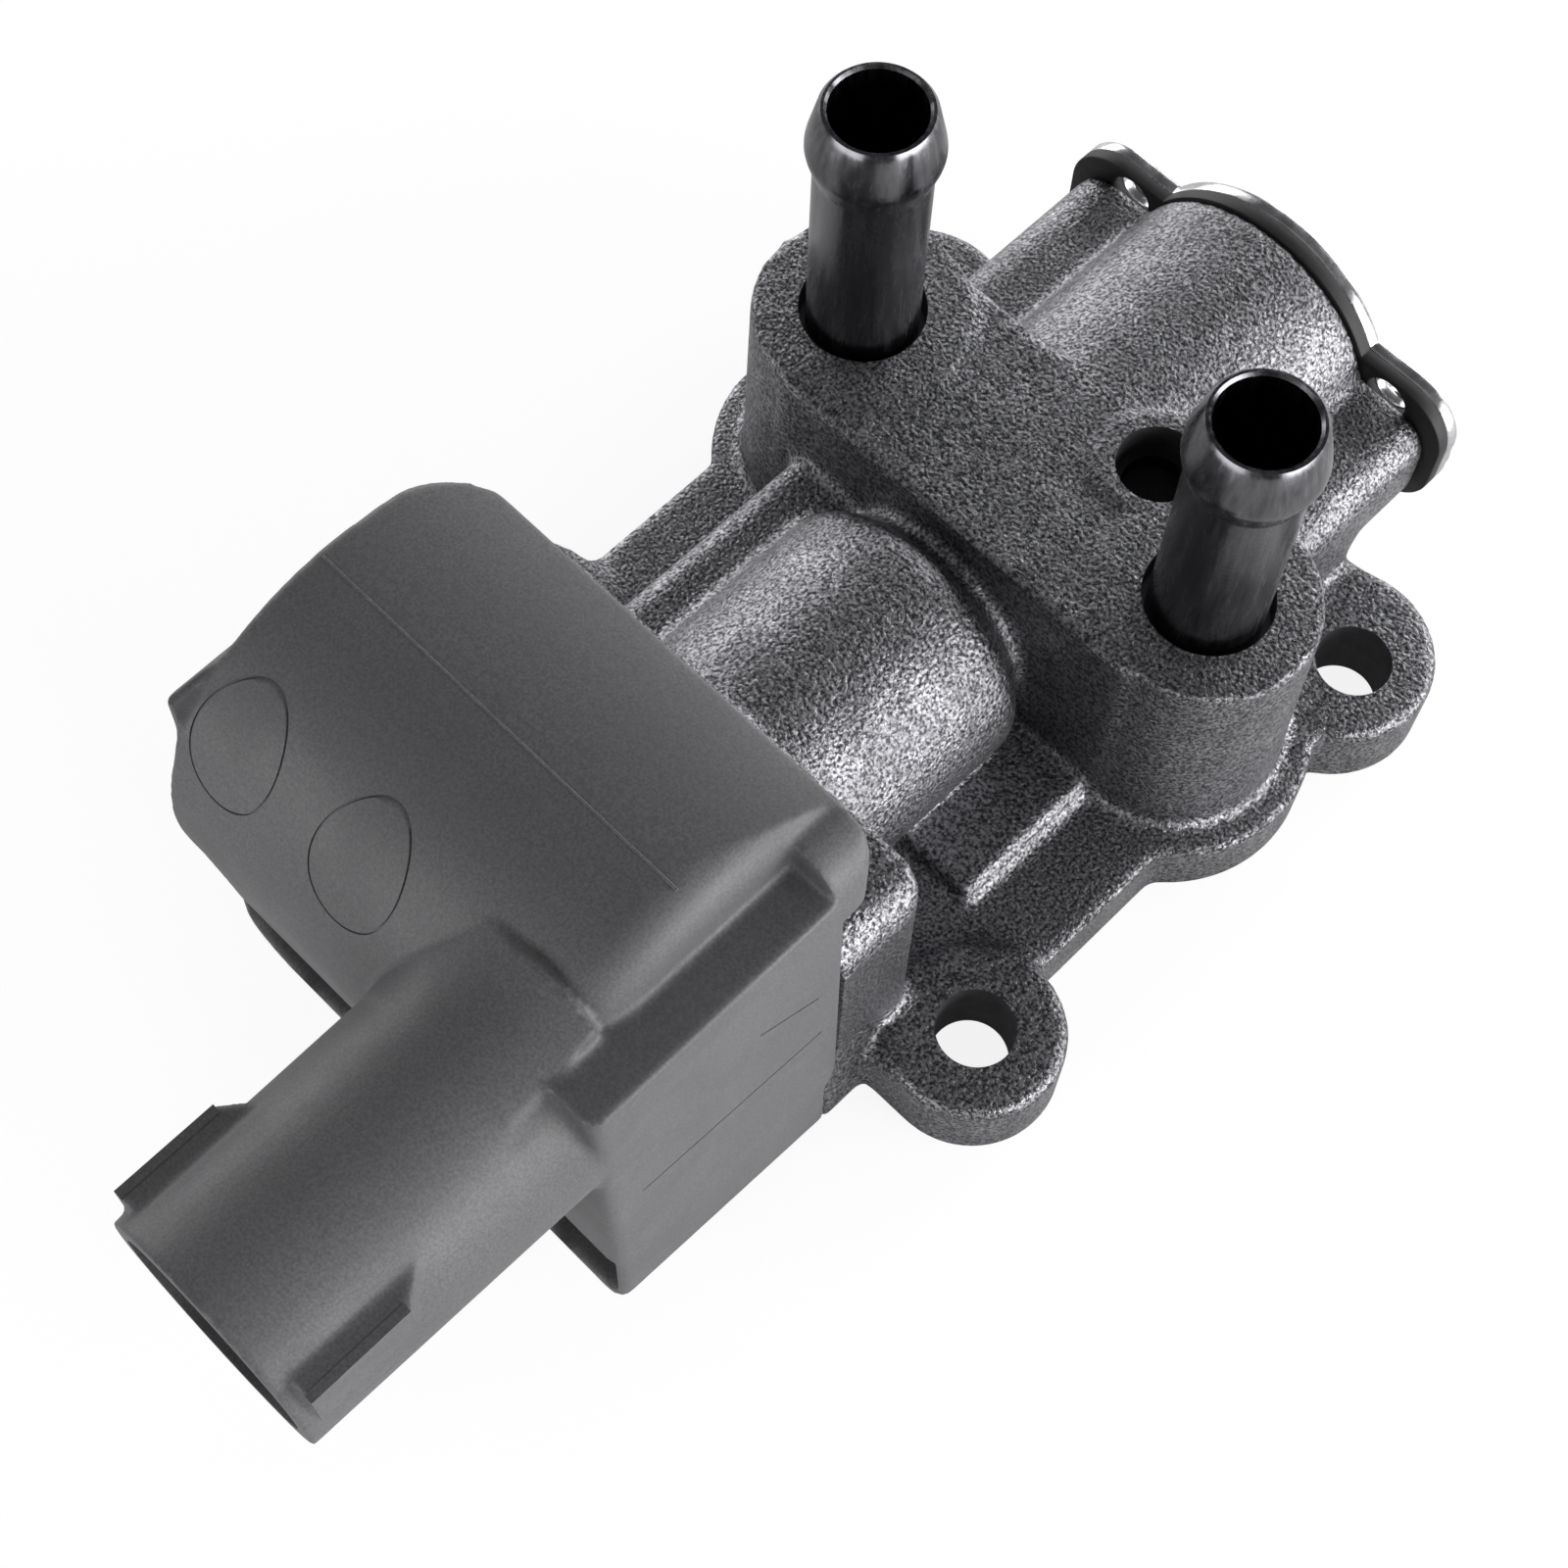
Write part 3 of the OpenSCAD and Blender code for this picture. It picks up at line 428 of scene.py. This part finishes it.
def settle(made):
    """Applies the modifiers of an object."""
    graph = bpy.context.evaluated_depsgraph_get()
    mesh = bpy.data.meshes.new_from_object(made.evaluated_get(graph))
    made.modifiers.clear()
    old = made.data
    made.data = mesh
    bpy.data.meshes.remove(old)


def soft_copy(made, voxel, passes):
    """Rounds all edges inside and out, as a mould or a die leaves them."""
    remesh = made.modifiers.new("even_skin", "REMESH")
    remesh.mode = "VOXEL"
    remesh.voxel_size = voxel
    smooth = made.modifiers.new("rounding", "SMOOTH")
    smooth.factor = 0.5
    smooth.iterations = passes
    settle(made)


def thin(made, share):
    """Keeps that share of the faces, most of them where the surface bends."""
    fewer = made.modifiers.new("fewer", "DECIMATE")
    fewer.ratio = share
    settle(made)


def machine(made, bm, finish, operation="DIFFERENCE", overlaps=False):
    """Cuts the piece with the closed shapes in bm, which may overlap and give the cut its finish."""
    bmesh.ops.recalc_face_normals(bm, faces=bm.faces)
    tool = piece(bm, made.name + "_tool", finish)
    cut = made.modifiers.new("cut", "BOOLEAN")
    cut.operation = operation
    cut.object = tool
    cut.solver = "EXACT"
    cut.use_self = overlaps
    cut.material_mode = "TRANSFER"
    settle(made)
    bpy.data.objects.remove(tool)


def shade(made, degrees=38):
    """Smooth shading that keeps edges sharper than the angle."""
    mesh = made.data
    mesh.polygons.foreach_set("use_smooth", [True] * len(mesh.polygons))
    mesh.set_sharp_from_angle(angle=math.radians(degrees))
    mesh.update()


def soften(bm, width, segments=3, degrees=25):
    """Rounds the edges of bm that turn by more than the angle."""
    sharp = [e for e in bm.edges if len(e.link_faces) == 2 and e.calc_face_angle(0) > math.radians(degrees)]
    bmesh.ops.bevel(
        bm,
        geom=sharp,
        offset=width * MM,
        offset_type="OFFSET",
        segments=segments,
        profile=0.5,
        affect="EDGES",
        clamp_overlap=True,
        material=-1,
    )


def turned(bm, profile, centre, steps=128):
    """Spins a closed profile of (radius, height) mm about a line along Z at centre, in mm."""
    verts = [bm.verts.new(Vector((r, 0, h)) * MM) for r, h in profile]
    edges = [bm.edges.new((a, b)) for a, b in zip(verts, verts[1:] + verts[:1])]
    bmesh.ops.spin(
        bm,
        geom=verts + edges,
        angle=math.tau,
        steps=steps,
        axis=(0, 0, 1),
        cent=(0, 0, 0),
        use_merge=True,
    )
    bmesh.ops.remove_doubles(bm, verts=bm.verts, dist=1e-7)
    bmesh.ops.recalc_face_normals(bm, faces=bm.faces)
    bmesh.ops.translate(bm, verts=bm.verts, vec=Vector(centre) * MM)


# ---- the sizes and colours a user would change


def size_mm(name, description, default):
    """A length property, its default in mm."""
    return bpy.props.FloatProperty(
        name=name, description=description, default=default * MM, unit="LENGTH", precision=5
    )


def paint(name, description, default):
    """A colour property, its default as #rrggbb."""
    return bpy.props.FloatVectorProperty(
        name=name, description=description, default=linear(default)[:3], subtype="COLOR"
    )


def watts(name, default):
    """The power of a light, in watts."""
    return bpy.props.FloatProperty(
        name=name, description=name + "'s power", default=default, unit="POWER"
    )


def times(name, description, default):
    """How often the surface is smoothed."""
    return bpy.props.IntProperty(name=name, description=description, default=default)


class ValveForm(bpy.types.PropertyGroup):
    cast_voxel: size_mm("Casting skin", "Mesh size of the casting's skin", 0.48)
    cast_passes: times("Casting rounding", "Rounding passes on the casting", 5)
    mould_voxel: size_mm("Moulding skin", "Mesh size of the housing's skin", 0.3)
    mould_passes: times("Moulding rounding", "Rounding passes on the housing", 4)
    rim_passes: times("Left rim", "Rounding passes on the crown's left rim", 24)
    mould_share: bpy.props.FloatProperty(
        name="Moulding mesh",
        description="Share of the housing's faces that are kept",
        default=0.42,
        subtype="FACTOR",
    )
    recess_width: size_mm("Cross recess", "Span of the screws' cross recess", 4.2)


class ValveFinish(bpy.types.PropertyGroup):
    casting_low: paint("Casting, low", "Casting colour in the grain", "#404043")
    casting_high: paint("Casting, high", "Casting colour on the grain", "#B4B4B8")
    grain_depth: size_mm("Grain depth", "Depth of the blasted grain", 0.12)
    housing_low: paint("Housing, low", "Housing colour in the grain", "#555557")
    housing_high: paint("Housing, high", "Housing colour on the grain", "#6A6A6C")


class ValveStage(bpy.types.PropertyGroup):
    left_light: watts("Left light", 2.0)
    right_light: watts("Right light", 4.2)
    front_light: watts("Front light", 1.9)
    rear_light: watts("Rear light", 2.6)
    top_light: watts("Top light", 0.25)
    room_light: bpy.props.FloatProperty(
        name="Room light", description="Strength of the light from all round", default=0.2
    )
    floor_colour: paint("Floor", "Colour of the floor", "#F2F2F2")


# ---- pieces


class VALVE_OT_cast_body(bpy.types.Operator):
    """Casting with rounded edges and fillets, then its bored and drilled faces"""

    bl_idname = "valve.cast_body"
    bl_label = "Cast body"

    def execute(self, context):
        form = context.scene.valve_form
        bm = copied("valve_body")
        bm.normal_update()
        foot = [f for f in bm.faces if f.normal.z < -0.99 and f.calc_center_median().z < 0.01 * MM]
        grown = bmesh.ops.extrude_face_region(bm, geom=foot)["geom"]
        lowered = [g for g in grown if isinstance(g, bmesh.types.BMVert)]
        bmesh.ops.translate(bm, verts=lowered, vec=(0, 0, -1.5 * MM))
        bmesh.ops.delete(bm, geom=foot, context="FACES")
        # Stock that fills each hole until it is bored
        for x, y in BOLTS:
            rod(bm, "Z", (x, y), -1.5, 7.28, 3.6, segments=48)
        rod(bm, "Y", (0, AXIS_Z), -30.2, 29.58, 7.8)
        rod(bm, "Y", (0, AXIS_Z), -45.78, -29, 4.3)
        rod(bm, "X", (0, 3.6), -NIPPLE_X, NIPPLE_X, 2.2, segments=32)
        block(bm, (-5.2, 5.2), (-24.2, -13.8), (-1.5, AXIS_Z))
        block(bm, (-3.95, 3.95), (7.8, 16.2), (-1.5, AXIS_Z))
        for side in (-1, 1):
            rod(bm, "Z", (side * NIPPLE_X, 0), 3.4, PAD_TOP_Z - 0.02, 5.5, segments=64)
            rod(bm, "Y", (side * COVER_SCREW[0], COVER_SCREW[2]), 20.6, 29.58, 2.3, segments=32)
            rod(bm, "Y", (side * HOUSING_SCREW[0], HOUSING_SCREW[2]), -44.48, -36.1, 1.9, segments=32)
        rod(bm, "Z", PLUG, 22.0, PAD_TOP_Z - 0.02, 3.8, segments=64)
        body = piece(bm, "cast_body", blasted_die_cast_aluminium)
        soft_copy(body, form.cast_voxel, form.cast_passes)
        bm = bmesh.new()
        block(bm, (-50, 50), (-60, 50), (-5, 0))
        for x, y in BOLTS:
            rod(bm, "Z", (x, y), -2, 10, 3.3, segments=64)
        rod(bm, "Y", (0, AXIS_Z), -30, 32, 7.5)
        rod(bm, "Y", (0, AXIS_Z), -47, -29, 2.8, segments=48)
        rod(bm, "Y", (0, AXIS_Z), -47, -42.3, 4.0, segments=64)
        rod(bm, "X", (0, 3.6), -NIPPLE_X, NIPPLE_X, 2.0, segments=32)
        block(bm, (-5, 5), (-24, -14), (-2, AXIS_Z))
        block(bm, (-3.75, 3.75), (8, 16), (-2, AXIS_Z))
        for side in (-1, 1):
            rod(bm, "Z", (side * NIPPLE_X, 0), 3.6, 30, 3.83, segments=64)
            rod(bm, "Z", (side * NIPPLE_X, 0), 15.85, 30, 4.7, segments=96)
            rod(bm, "Z", (side * NIPPLE_X, 0), 24.85, 30, 5.3, segments=96)
            rod(bm, "Y", (side * COVER_SCREW[0], COVER_SCREW[2]), 20.8, 32, 2.0, segments=32)
            rod(bm, "Y", (side * HOUSING_SCREW[0], HOUSING_SCREW[2]), -46, -36.3, 1.6, segments=32)
        rod(bm, "Z", PLUG, 22.3, 30, 3.5, segments=96)
        machine(body, bm, bored_die_cast_aluminium, overlaps=True)
        shade(body)
        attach(body, "casing")
        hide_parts("valve_body")
        return {"FINISHED"}


def round_left_rim(made, passes):
    """Rounds the crown's left rim more than its other edges."""
    mesh = made.data
    group = made.vertex_groups.new(name="left_rim")
    for vert in mesh.vertices:
        x, y, z = vert.co / MM
        inward = min(1.0, max(0.0, (CROWN_LEFT_X + 2.4 - x) / 1.2))
        free = min(1.0, max(0.0, z - LEDGE_LEFT_Z - 0.6, (-67.4 - y) / 0.6))
        if inward * free > 0:
            group.add([vert.index], inward * free, "REPLACE")
    smooth = made.modifiers.new("rim", "SMOOTH")
    smooth.factor = 0.5
    smooth.iterations = passes
    smooth.vertex_group = group.name
    settle(made)
    made.vertex_groups.clear()


def ejector_rings(bm):
    """Ring grooves that the ejector pins leave in the curved shoulder."""
    for x in (-16.1, -3.7):
        ring = bmesh.new()
        turned(ring, [(3.86, -72.0), (4.02, -72.0), (4.02, -60.0), (3.86, -60.0)], (0, 0, 0), steps=64)
        place = Matrix.Translation(Vector((x, 0, 44.0)) * MM) @ Matrix.Rotation(-math.pi / 2, 4, "X")
        bmesh.ops.transform(ring, matrix=place, verts=ring.verts)
        cutter = piece(ring, "ring", moulded_glass_filled_nylon)
        core = bmesh.new()
        rod(core, "X", SHOULDER, -25.0, 20.0, SHOULDER_R - RING_DEPTH, segments=256)
        machine(cutter, core, moulded_glass_filled_nylon)
        bm.from_mesh(cutter.data)
        bpy.data.objects.remove(cutter)


def latch_wings(bm):
    """Crisp flat-topped wings on both sides of the socket."""
    for side in (-1, 1):
        near, far = SOCKET[0] + side * 8.9, SOCKET[0] + side * 9.62
        block(bm, (min(near, far), max(near, far)), (-90.9, -82.6), (SOCKET[1], SOCKET[1] + 6.53))


class VALVE_OT_moulded_housing(bpy.types.Operator):
    """Moulded housing with rounded edges, its ejector marks and its mould lines"""

    bl_idname = "valve.moulded_housing"
    bl_label = "Moulded housing"

    def execute(self, context):
        form = context.scene.valve_form
        bm = copied("solenoid_housing")
        # Stock that fills the socket until it is cored
        rod(bm, "Y", SOCKET, -92.18, -72.3, 9.0)
        housing = piece(bm, "moulded_housing", moulded_glass_filled_nylon)
        soft_copy(housing, form.mould_voxel, form.mould_passes)
        round_left_rim(housing, form.rim_passes)
        thin(housing, form.mould_share)
        bm = bmesh.new()
        ejector_rings(bm)
        rod(bm, "Y", SOCKET, -93.0, -72.2, 8.25, segments=128)
        # Rub marks on the right wall
        bar(bm, (21.61, -63.7, 25.8), (21.66, -45.6, 23.65), 0.2, 0.2)
        bar(bm, (21.41, -51.9, 34.6), (21.49, -46.1, 31.2), 0.2, 0.2)
        machine(housing, bm, moulded_glass_filled_nylon)
        bm = bmesh.new()
        latch_wings(bm)
        machine(housing, bm, moulded_glass_filled_nylon, "UNION")
        shade(housing, 40)
        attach(housing, "casing")
        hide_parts("solenoid_housing")
        # Parting line over the crown, half sunk
        bm = bmesh.new()
        rod(bm, "X", (-52.8, 50.39), -20.2, 14.4, 0.12, segments=16)
        lines = piece(bm, "mould_lines", moulded_glass_filled_nylon)
        shade(lines, 40)
        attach(lines, "casing")
        return {"FINISHED"}


class VALVE_OT_hose_nipples(bpy.types.Operator):
    """Two turned nipples with a rounded hose bead"""

    bl_idname = "valve.hose_nipples"
    bl_label = "Hose nipples"

    def execute(self, context):
        profile = [
            (3.83, 15.9), (4.68, 15.9), (4.7, 46.2), (4.86, 46.7), (5.28, 48.1), (5.38, 48.6),
            (5.38, 49.0), (5.3, 49.5), (4.62, 52.5), (4.3, 52.95), (4.05, 53.0), (3.83, 52.75),
        ]
        for side, node in ((-1, "nipple_left"), (1, "nipple_right")):
            bm = bmesh.new()
            turned(bm, profile, (side * NIPPLE_X, 0, 0))
            made = piece(bm, "hose_" + node, turned_dark_steel)
            shade(made, 32)
            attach(made, "casing")
            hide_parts(node)
        return {"FINISHED"}


class VALVE_OT_end_cover(bpy.types.Operator):
    """Pressed cover, its gasket and the screw washers, with their edges rounded"""

    bl_idname = "valve.end_cover"
    bl_label = "End cover"

    def execute(self, context):
        for node, name, finish, slot, width in (
            ("end_cover", "pressed_cover", zinc_plated_steel, "plated_steel", 0.25),
            ("cover_gasket", "rubber_gasket", nitrile_rubber, "rubber_black", 0.12),
            ("cover_washers", "screw_washers", zinc_plated_steel, "plated_steel", 0.12),
        ):
            bm = copied(node)
            bmesh.ops.dissolve_limit(bm, angle_limit=math.radians(1), verts=bm.verts, edges=bm.edges)
            soften(bm, width, 2, 40)
            made = piece(bm, name, finish)
            shade(made, 40)
            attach(made, "casing")
            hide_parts(node)
        return {"FINISHED"}


class VALVE_OT_screws(bpy.types.Operator):
    """Pan-head screws with a cross recess"""

    bl_idname = "valve.screws"
    bl_label = "Screws"

    def execute(self, context):
        half_recess = context.scene.valve_form.recess_width / MM / 2
        for node, name, (off, y, z), outward, shank, head, rise, reach in (
            ("cover_screws", "cover_pan_screws", COVER_SCREW, 1, 2.0, 3.9, 2.5, 11.0),
            ("housing_screws", "housing_pan_screws", HOUSING_SCREW, -1, 1.6, 2.5, 2.0, 13.7),
        ):
            bm = bmesh.new()
            for x in (off, -off):
                one = bmesh.new()
                arc = [
                    (head - rise * 0.6 * (1 - math.cos(a)), rise * 0.4 + rise * 0.5 * math.sin(a))
                    for a in [i * math.pi / 2 / 6 for i in range(7)]
                ]
                # Half profile from the point to the crown, closed on the axis by the spin
                profile = [(0.0, -reach), (shank - 0.4, -reach), (shank, -reach + 0.5)]
                profile += [(shank, 0.0), (head, 0.0), *arc, (head * 0.3, rise), (0.0, rise)]
                turned(one, profile, (0, 0, 0), steps=64)
                turn = Matrix.Rotation(-outward * math.pi / 2, 4, "X")
                place = Matrix.Translation(Vector((x, y, z)) * MM) @ turn
                bmesh.ops.transform(one, matrix=place, verts=one.verts)
                mesh = bpy.data.meshes.new("one")
                one.to_mesh(mesh)
                one.free()
                bm.from_mesh(mesh)
                bpy.data.meshes.remove(mesh)
            made = piece(bm, name, zinc_plated_steel)
            bm = bmesh.new()
            scale = head / 3.9
            for x in (off, -off):
                near, far = y + outward * (rise - 1.5 * scale), y + outward * (rise + 1.0)
                low, high = min(near, far), max(near, far)
                arm, half = half_recess * scale, 0.42 * scale
                block(bm, (x - arm, x + arm), (low, high), (z - half, z + half))
                block(bm, (x - half, x + half), (low, high), (z - arm, z + arm))
            # The cross recesses take the near-black plug finish as painted shade; the plated screws are the
            # same zinc inside them.
            machine(made, bm, blackened_steel_and_recess_shade, overlaps=True)
            shade(made, 35)
            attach(made, "casing")
            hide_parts(node)
        return {"FINISHED"}


class VALVE_OT_inner_parts(bpy.types.Operator):
    """Finishes of the solids that show as they are, most of them inside the valve"""

    bl_idname = "valve.inner_parts"
    bl_label = "Inner parts"

    def execute(self, context):
        for node, finish in INNER_FINISH.items():
            mesh = NODES[node].data
            mesh.materials.clear()
            mesh.materials.append(named(finish))
        return {"FINISHED"}


class VALVE_OT_stage(bpy.types.Operator):
    """Floor, side lights, world and camera"""

    bl_idname = "valve.stage"
    bl_label = "Stage"

    def execute(self, context):
        scene = context.scene
        look = scene.valve_stage
        scene.view_settings.view_transform = "Standard"

        world = bpy.data.worlds.new("studio")
        scene.world = world
        world.use_nodes = True
        tree = world.node_tree
        tree.nodes.clear()
        path = add(tree, "ShaderNodeLightPath")
        room = {"Color": linear("#BCBCBE"), "Strength": look.room_light}
        dim = add(tree, "ShaderNodeBackground", inputs=room)
        white = add(tree, "ShaderNodeBackground", inputs={"Color": (1, 1, 1, 1), "Strength": 1.0})
        seen = add(
            tree,
            "ShaderNodeMixShader",
            inputs={0: path.outputs["Is Camera Ray"], 1: dim.outputs[0], 2: white.outputs[0]},
        )
        add(tree, "ShaderNodeOutputWorld", inputs={"Surface": seen.outputs[0]})

        bm = bmesh.new()
        bmesh.ops.create_grid(bm, x_segments=1, y_segments=1, size=3.0)
        floor = piece(bm, "floor", pale_floor)

        centre = Vector((0, -20, 20)) * MM
        for name, direction, distance, width, height, power in (
            ("light_right", (0.93, 0.28, 0.2), 0.55, 0.6, 0.24, look.right_light),
            ("light_left", (-0.93, 0.28, 0.18), 0.55, 0.6, 0.24, look.left_light),
            ("light_front", (-0.1, -0.96, 0.2), 0.6, 0.6, 0.24, look.front_light),
            ("light_rear", (0.0, 0.96, 0.2), 0.6, 0.6, 0.24, look.rear_light),
            ("light_top", (0.1, -0.3, 1.0), 0.7, 0.7, 0.7, look.top_light),
        ):
            data = bpy.data.lights.new(name, "AREA")
            data.shape = "RECTANGLE"
            data.size, data.size_y, data.energy = width, height, power
            lamp = bpy.data.objects.new(name, data)
            scene.collection.objects.link(lamp)
            way = Vector(direction).normalized()
            lamp.location = centre + way * distance
            lamp.rotation_euler = way.to_track_quat("Z", "Y").to_euler()

        right, down, forward = camera_axes()
        data = bpy.data.cameras.new("camera")
        data.sensor_width = 36.0
        data.lens = 63.5576
        data.clip_start, data.clip_end = 0.01, 10.0
        camera = bpy.data.objects.new("camera", data)
        camera.matrix_world = Matrix(
            [
                [right[i], -down[i], -forward[i], (65.4, -99.05, 215.57)[i] * MM]
                for i in range(3)
            ]
            + [[0, 0, 0, 1]]
        )
        scene.collection.objects.link(camera)
        scene.camera = camera
        return {"FINISHED"}


def camera_axes():
    """Right, down and forward of the camera, from its turn as an axis times an angle."""
    turn = Vector((2.518, 1.046, -0.203))
    rows = Matrix.Rotation(turn.length, 3, turn)
    return rows[0], rows[1], rows[2]


def pale_floor(tree, place):
    """Pale paper that the camera sees near white, with the valve's shadow kept."""
    look = bpy.context.scene.valve_stage
    path = add(tree, "ShaderNodeLightPath")
    paper = add(tree, "ShaderNodeBsdfDiffuse", inputs={"Color": (*look.floor_colour, 1)})
    part = add(tree, "ShaderNodeBsdfDiffuse", inputs={"Color": linear("#7C7C7C")})
    glow = add(tree, "ShaderNodeEmission", inputs={"Color": (1, 1, 1, 1), "Strength": 0.87})
    both = add(tree, "ShaderNodeAddShader", inputs={0: part.outputs[0], 1: glow.outputs[0]})
    seen = {0: path.outputs["Is Camera Ray"], 1: paper.outputs[0], 2: both.outputs[0]}
    return add(tree, "ShaderNodeMixShader", inputs=seen).outputs[0]


OPERATORS = (
    VALVE_OT_cast_body,
    VALVE_OT_moulded_housing,
    VALVE_OT_hose_nipples,
    VALVE_OT_end_cover,
    VALVE_OT_screws,
    VALVE_OT_inner_parts,
    VALVE_OT_stage,
)


class VALVE_PT_panel(bpy.types.Panel):
    """Lists the steps in order"""

    bl_idname = "VALVE_PT_panel"
    bl_label = "Idle air control valve"
    bl_space_type = "VIEW_3D"
    bl_region_type = "UI"
    bl_category = "Valve"

    def draw(self, context):
        for kind in OPERATORS:
            self.layout.operator(kind.bl_idname)


GROUPS = {"valve_form": ValveForm, "valve_finish": ValveFinish, "valve_stage": ValveStage}


def register():
    for kind in (*GROUPS.values(), *OPERATORS, VALVE_PT_panel):
        bpy.utils.register_class(kind)
    for name, kind in GROUPS.items():
        setattr(bpy.types.Scene, name, bpy.props.PointerProperty(type=kind))


def unregister():
    for name in GROUPS:
        delattr(bpy.types.Scene, name)
    for kind in reversed((*GROUPS.values(), *OPERATORS, VALVE_PT_panel)):
        bpy.utils.unregister_class(kind)


def main():
    register()
    bpy.ops.valve.cast_body()
    bpy.ops.valve.moulded_housing()
    bpy.ops.valve.hose_nipples()
    bpy.ops.valve.end_cover()
    bpy.ops.valve.screws()
    bpy.ops.valve.inner_parts()
    bpy.ops.valve.stage()


if __name__ == "__main__":
    main()
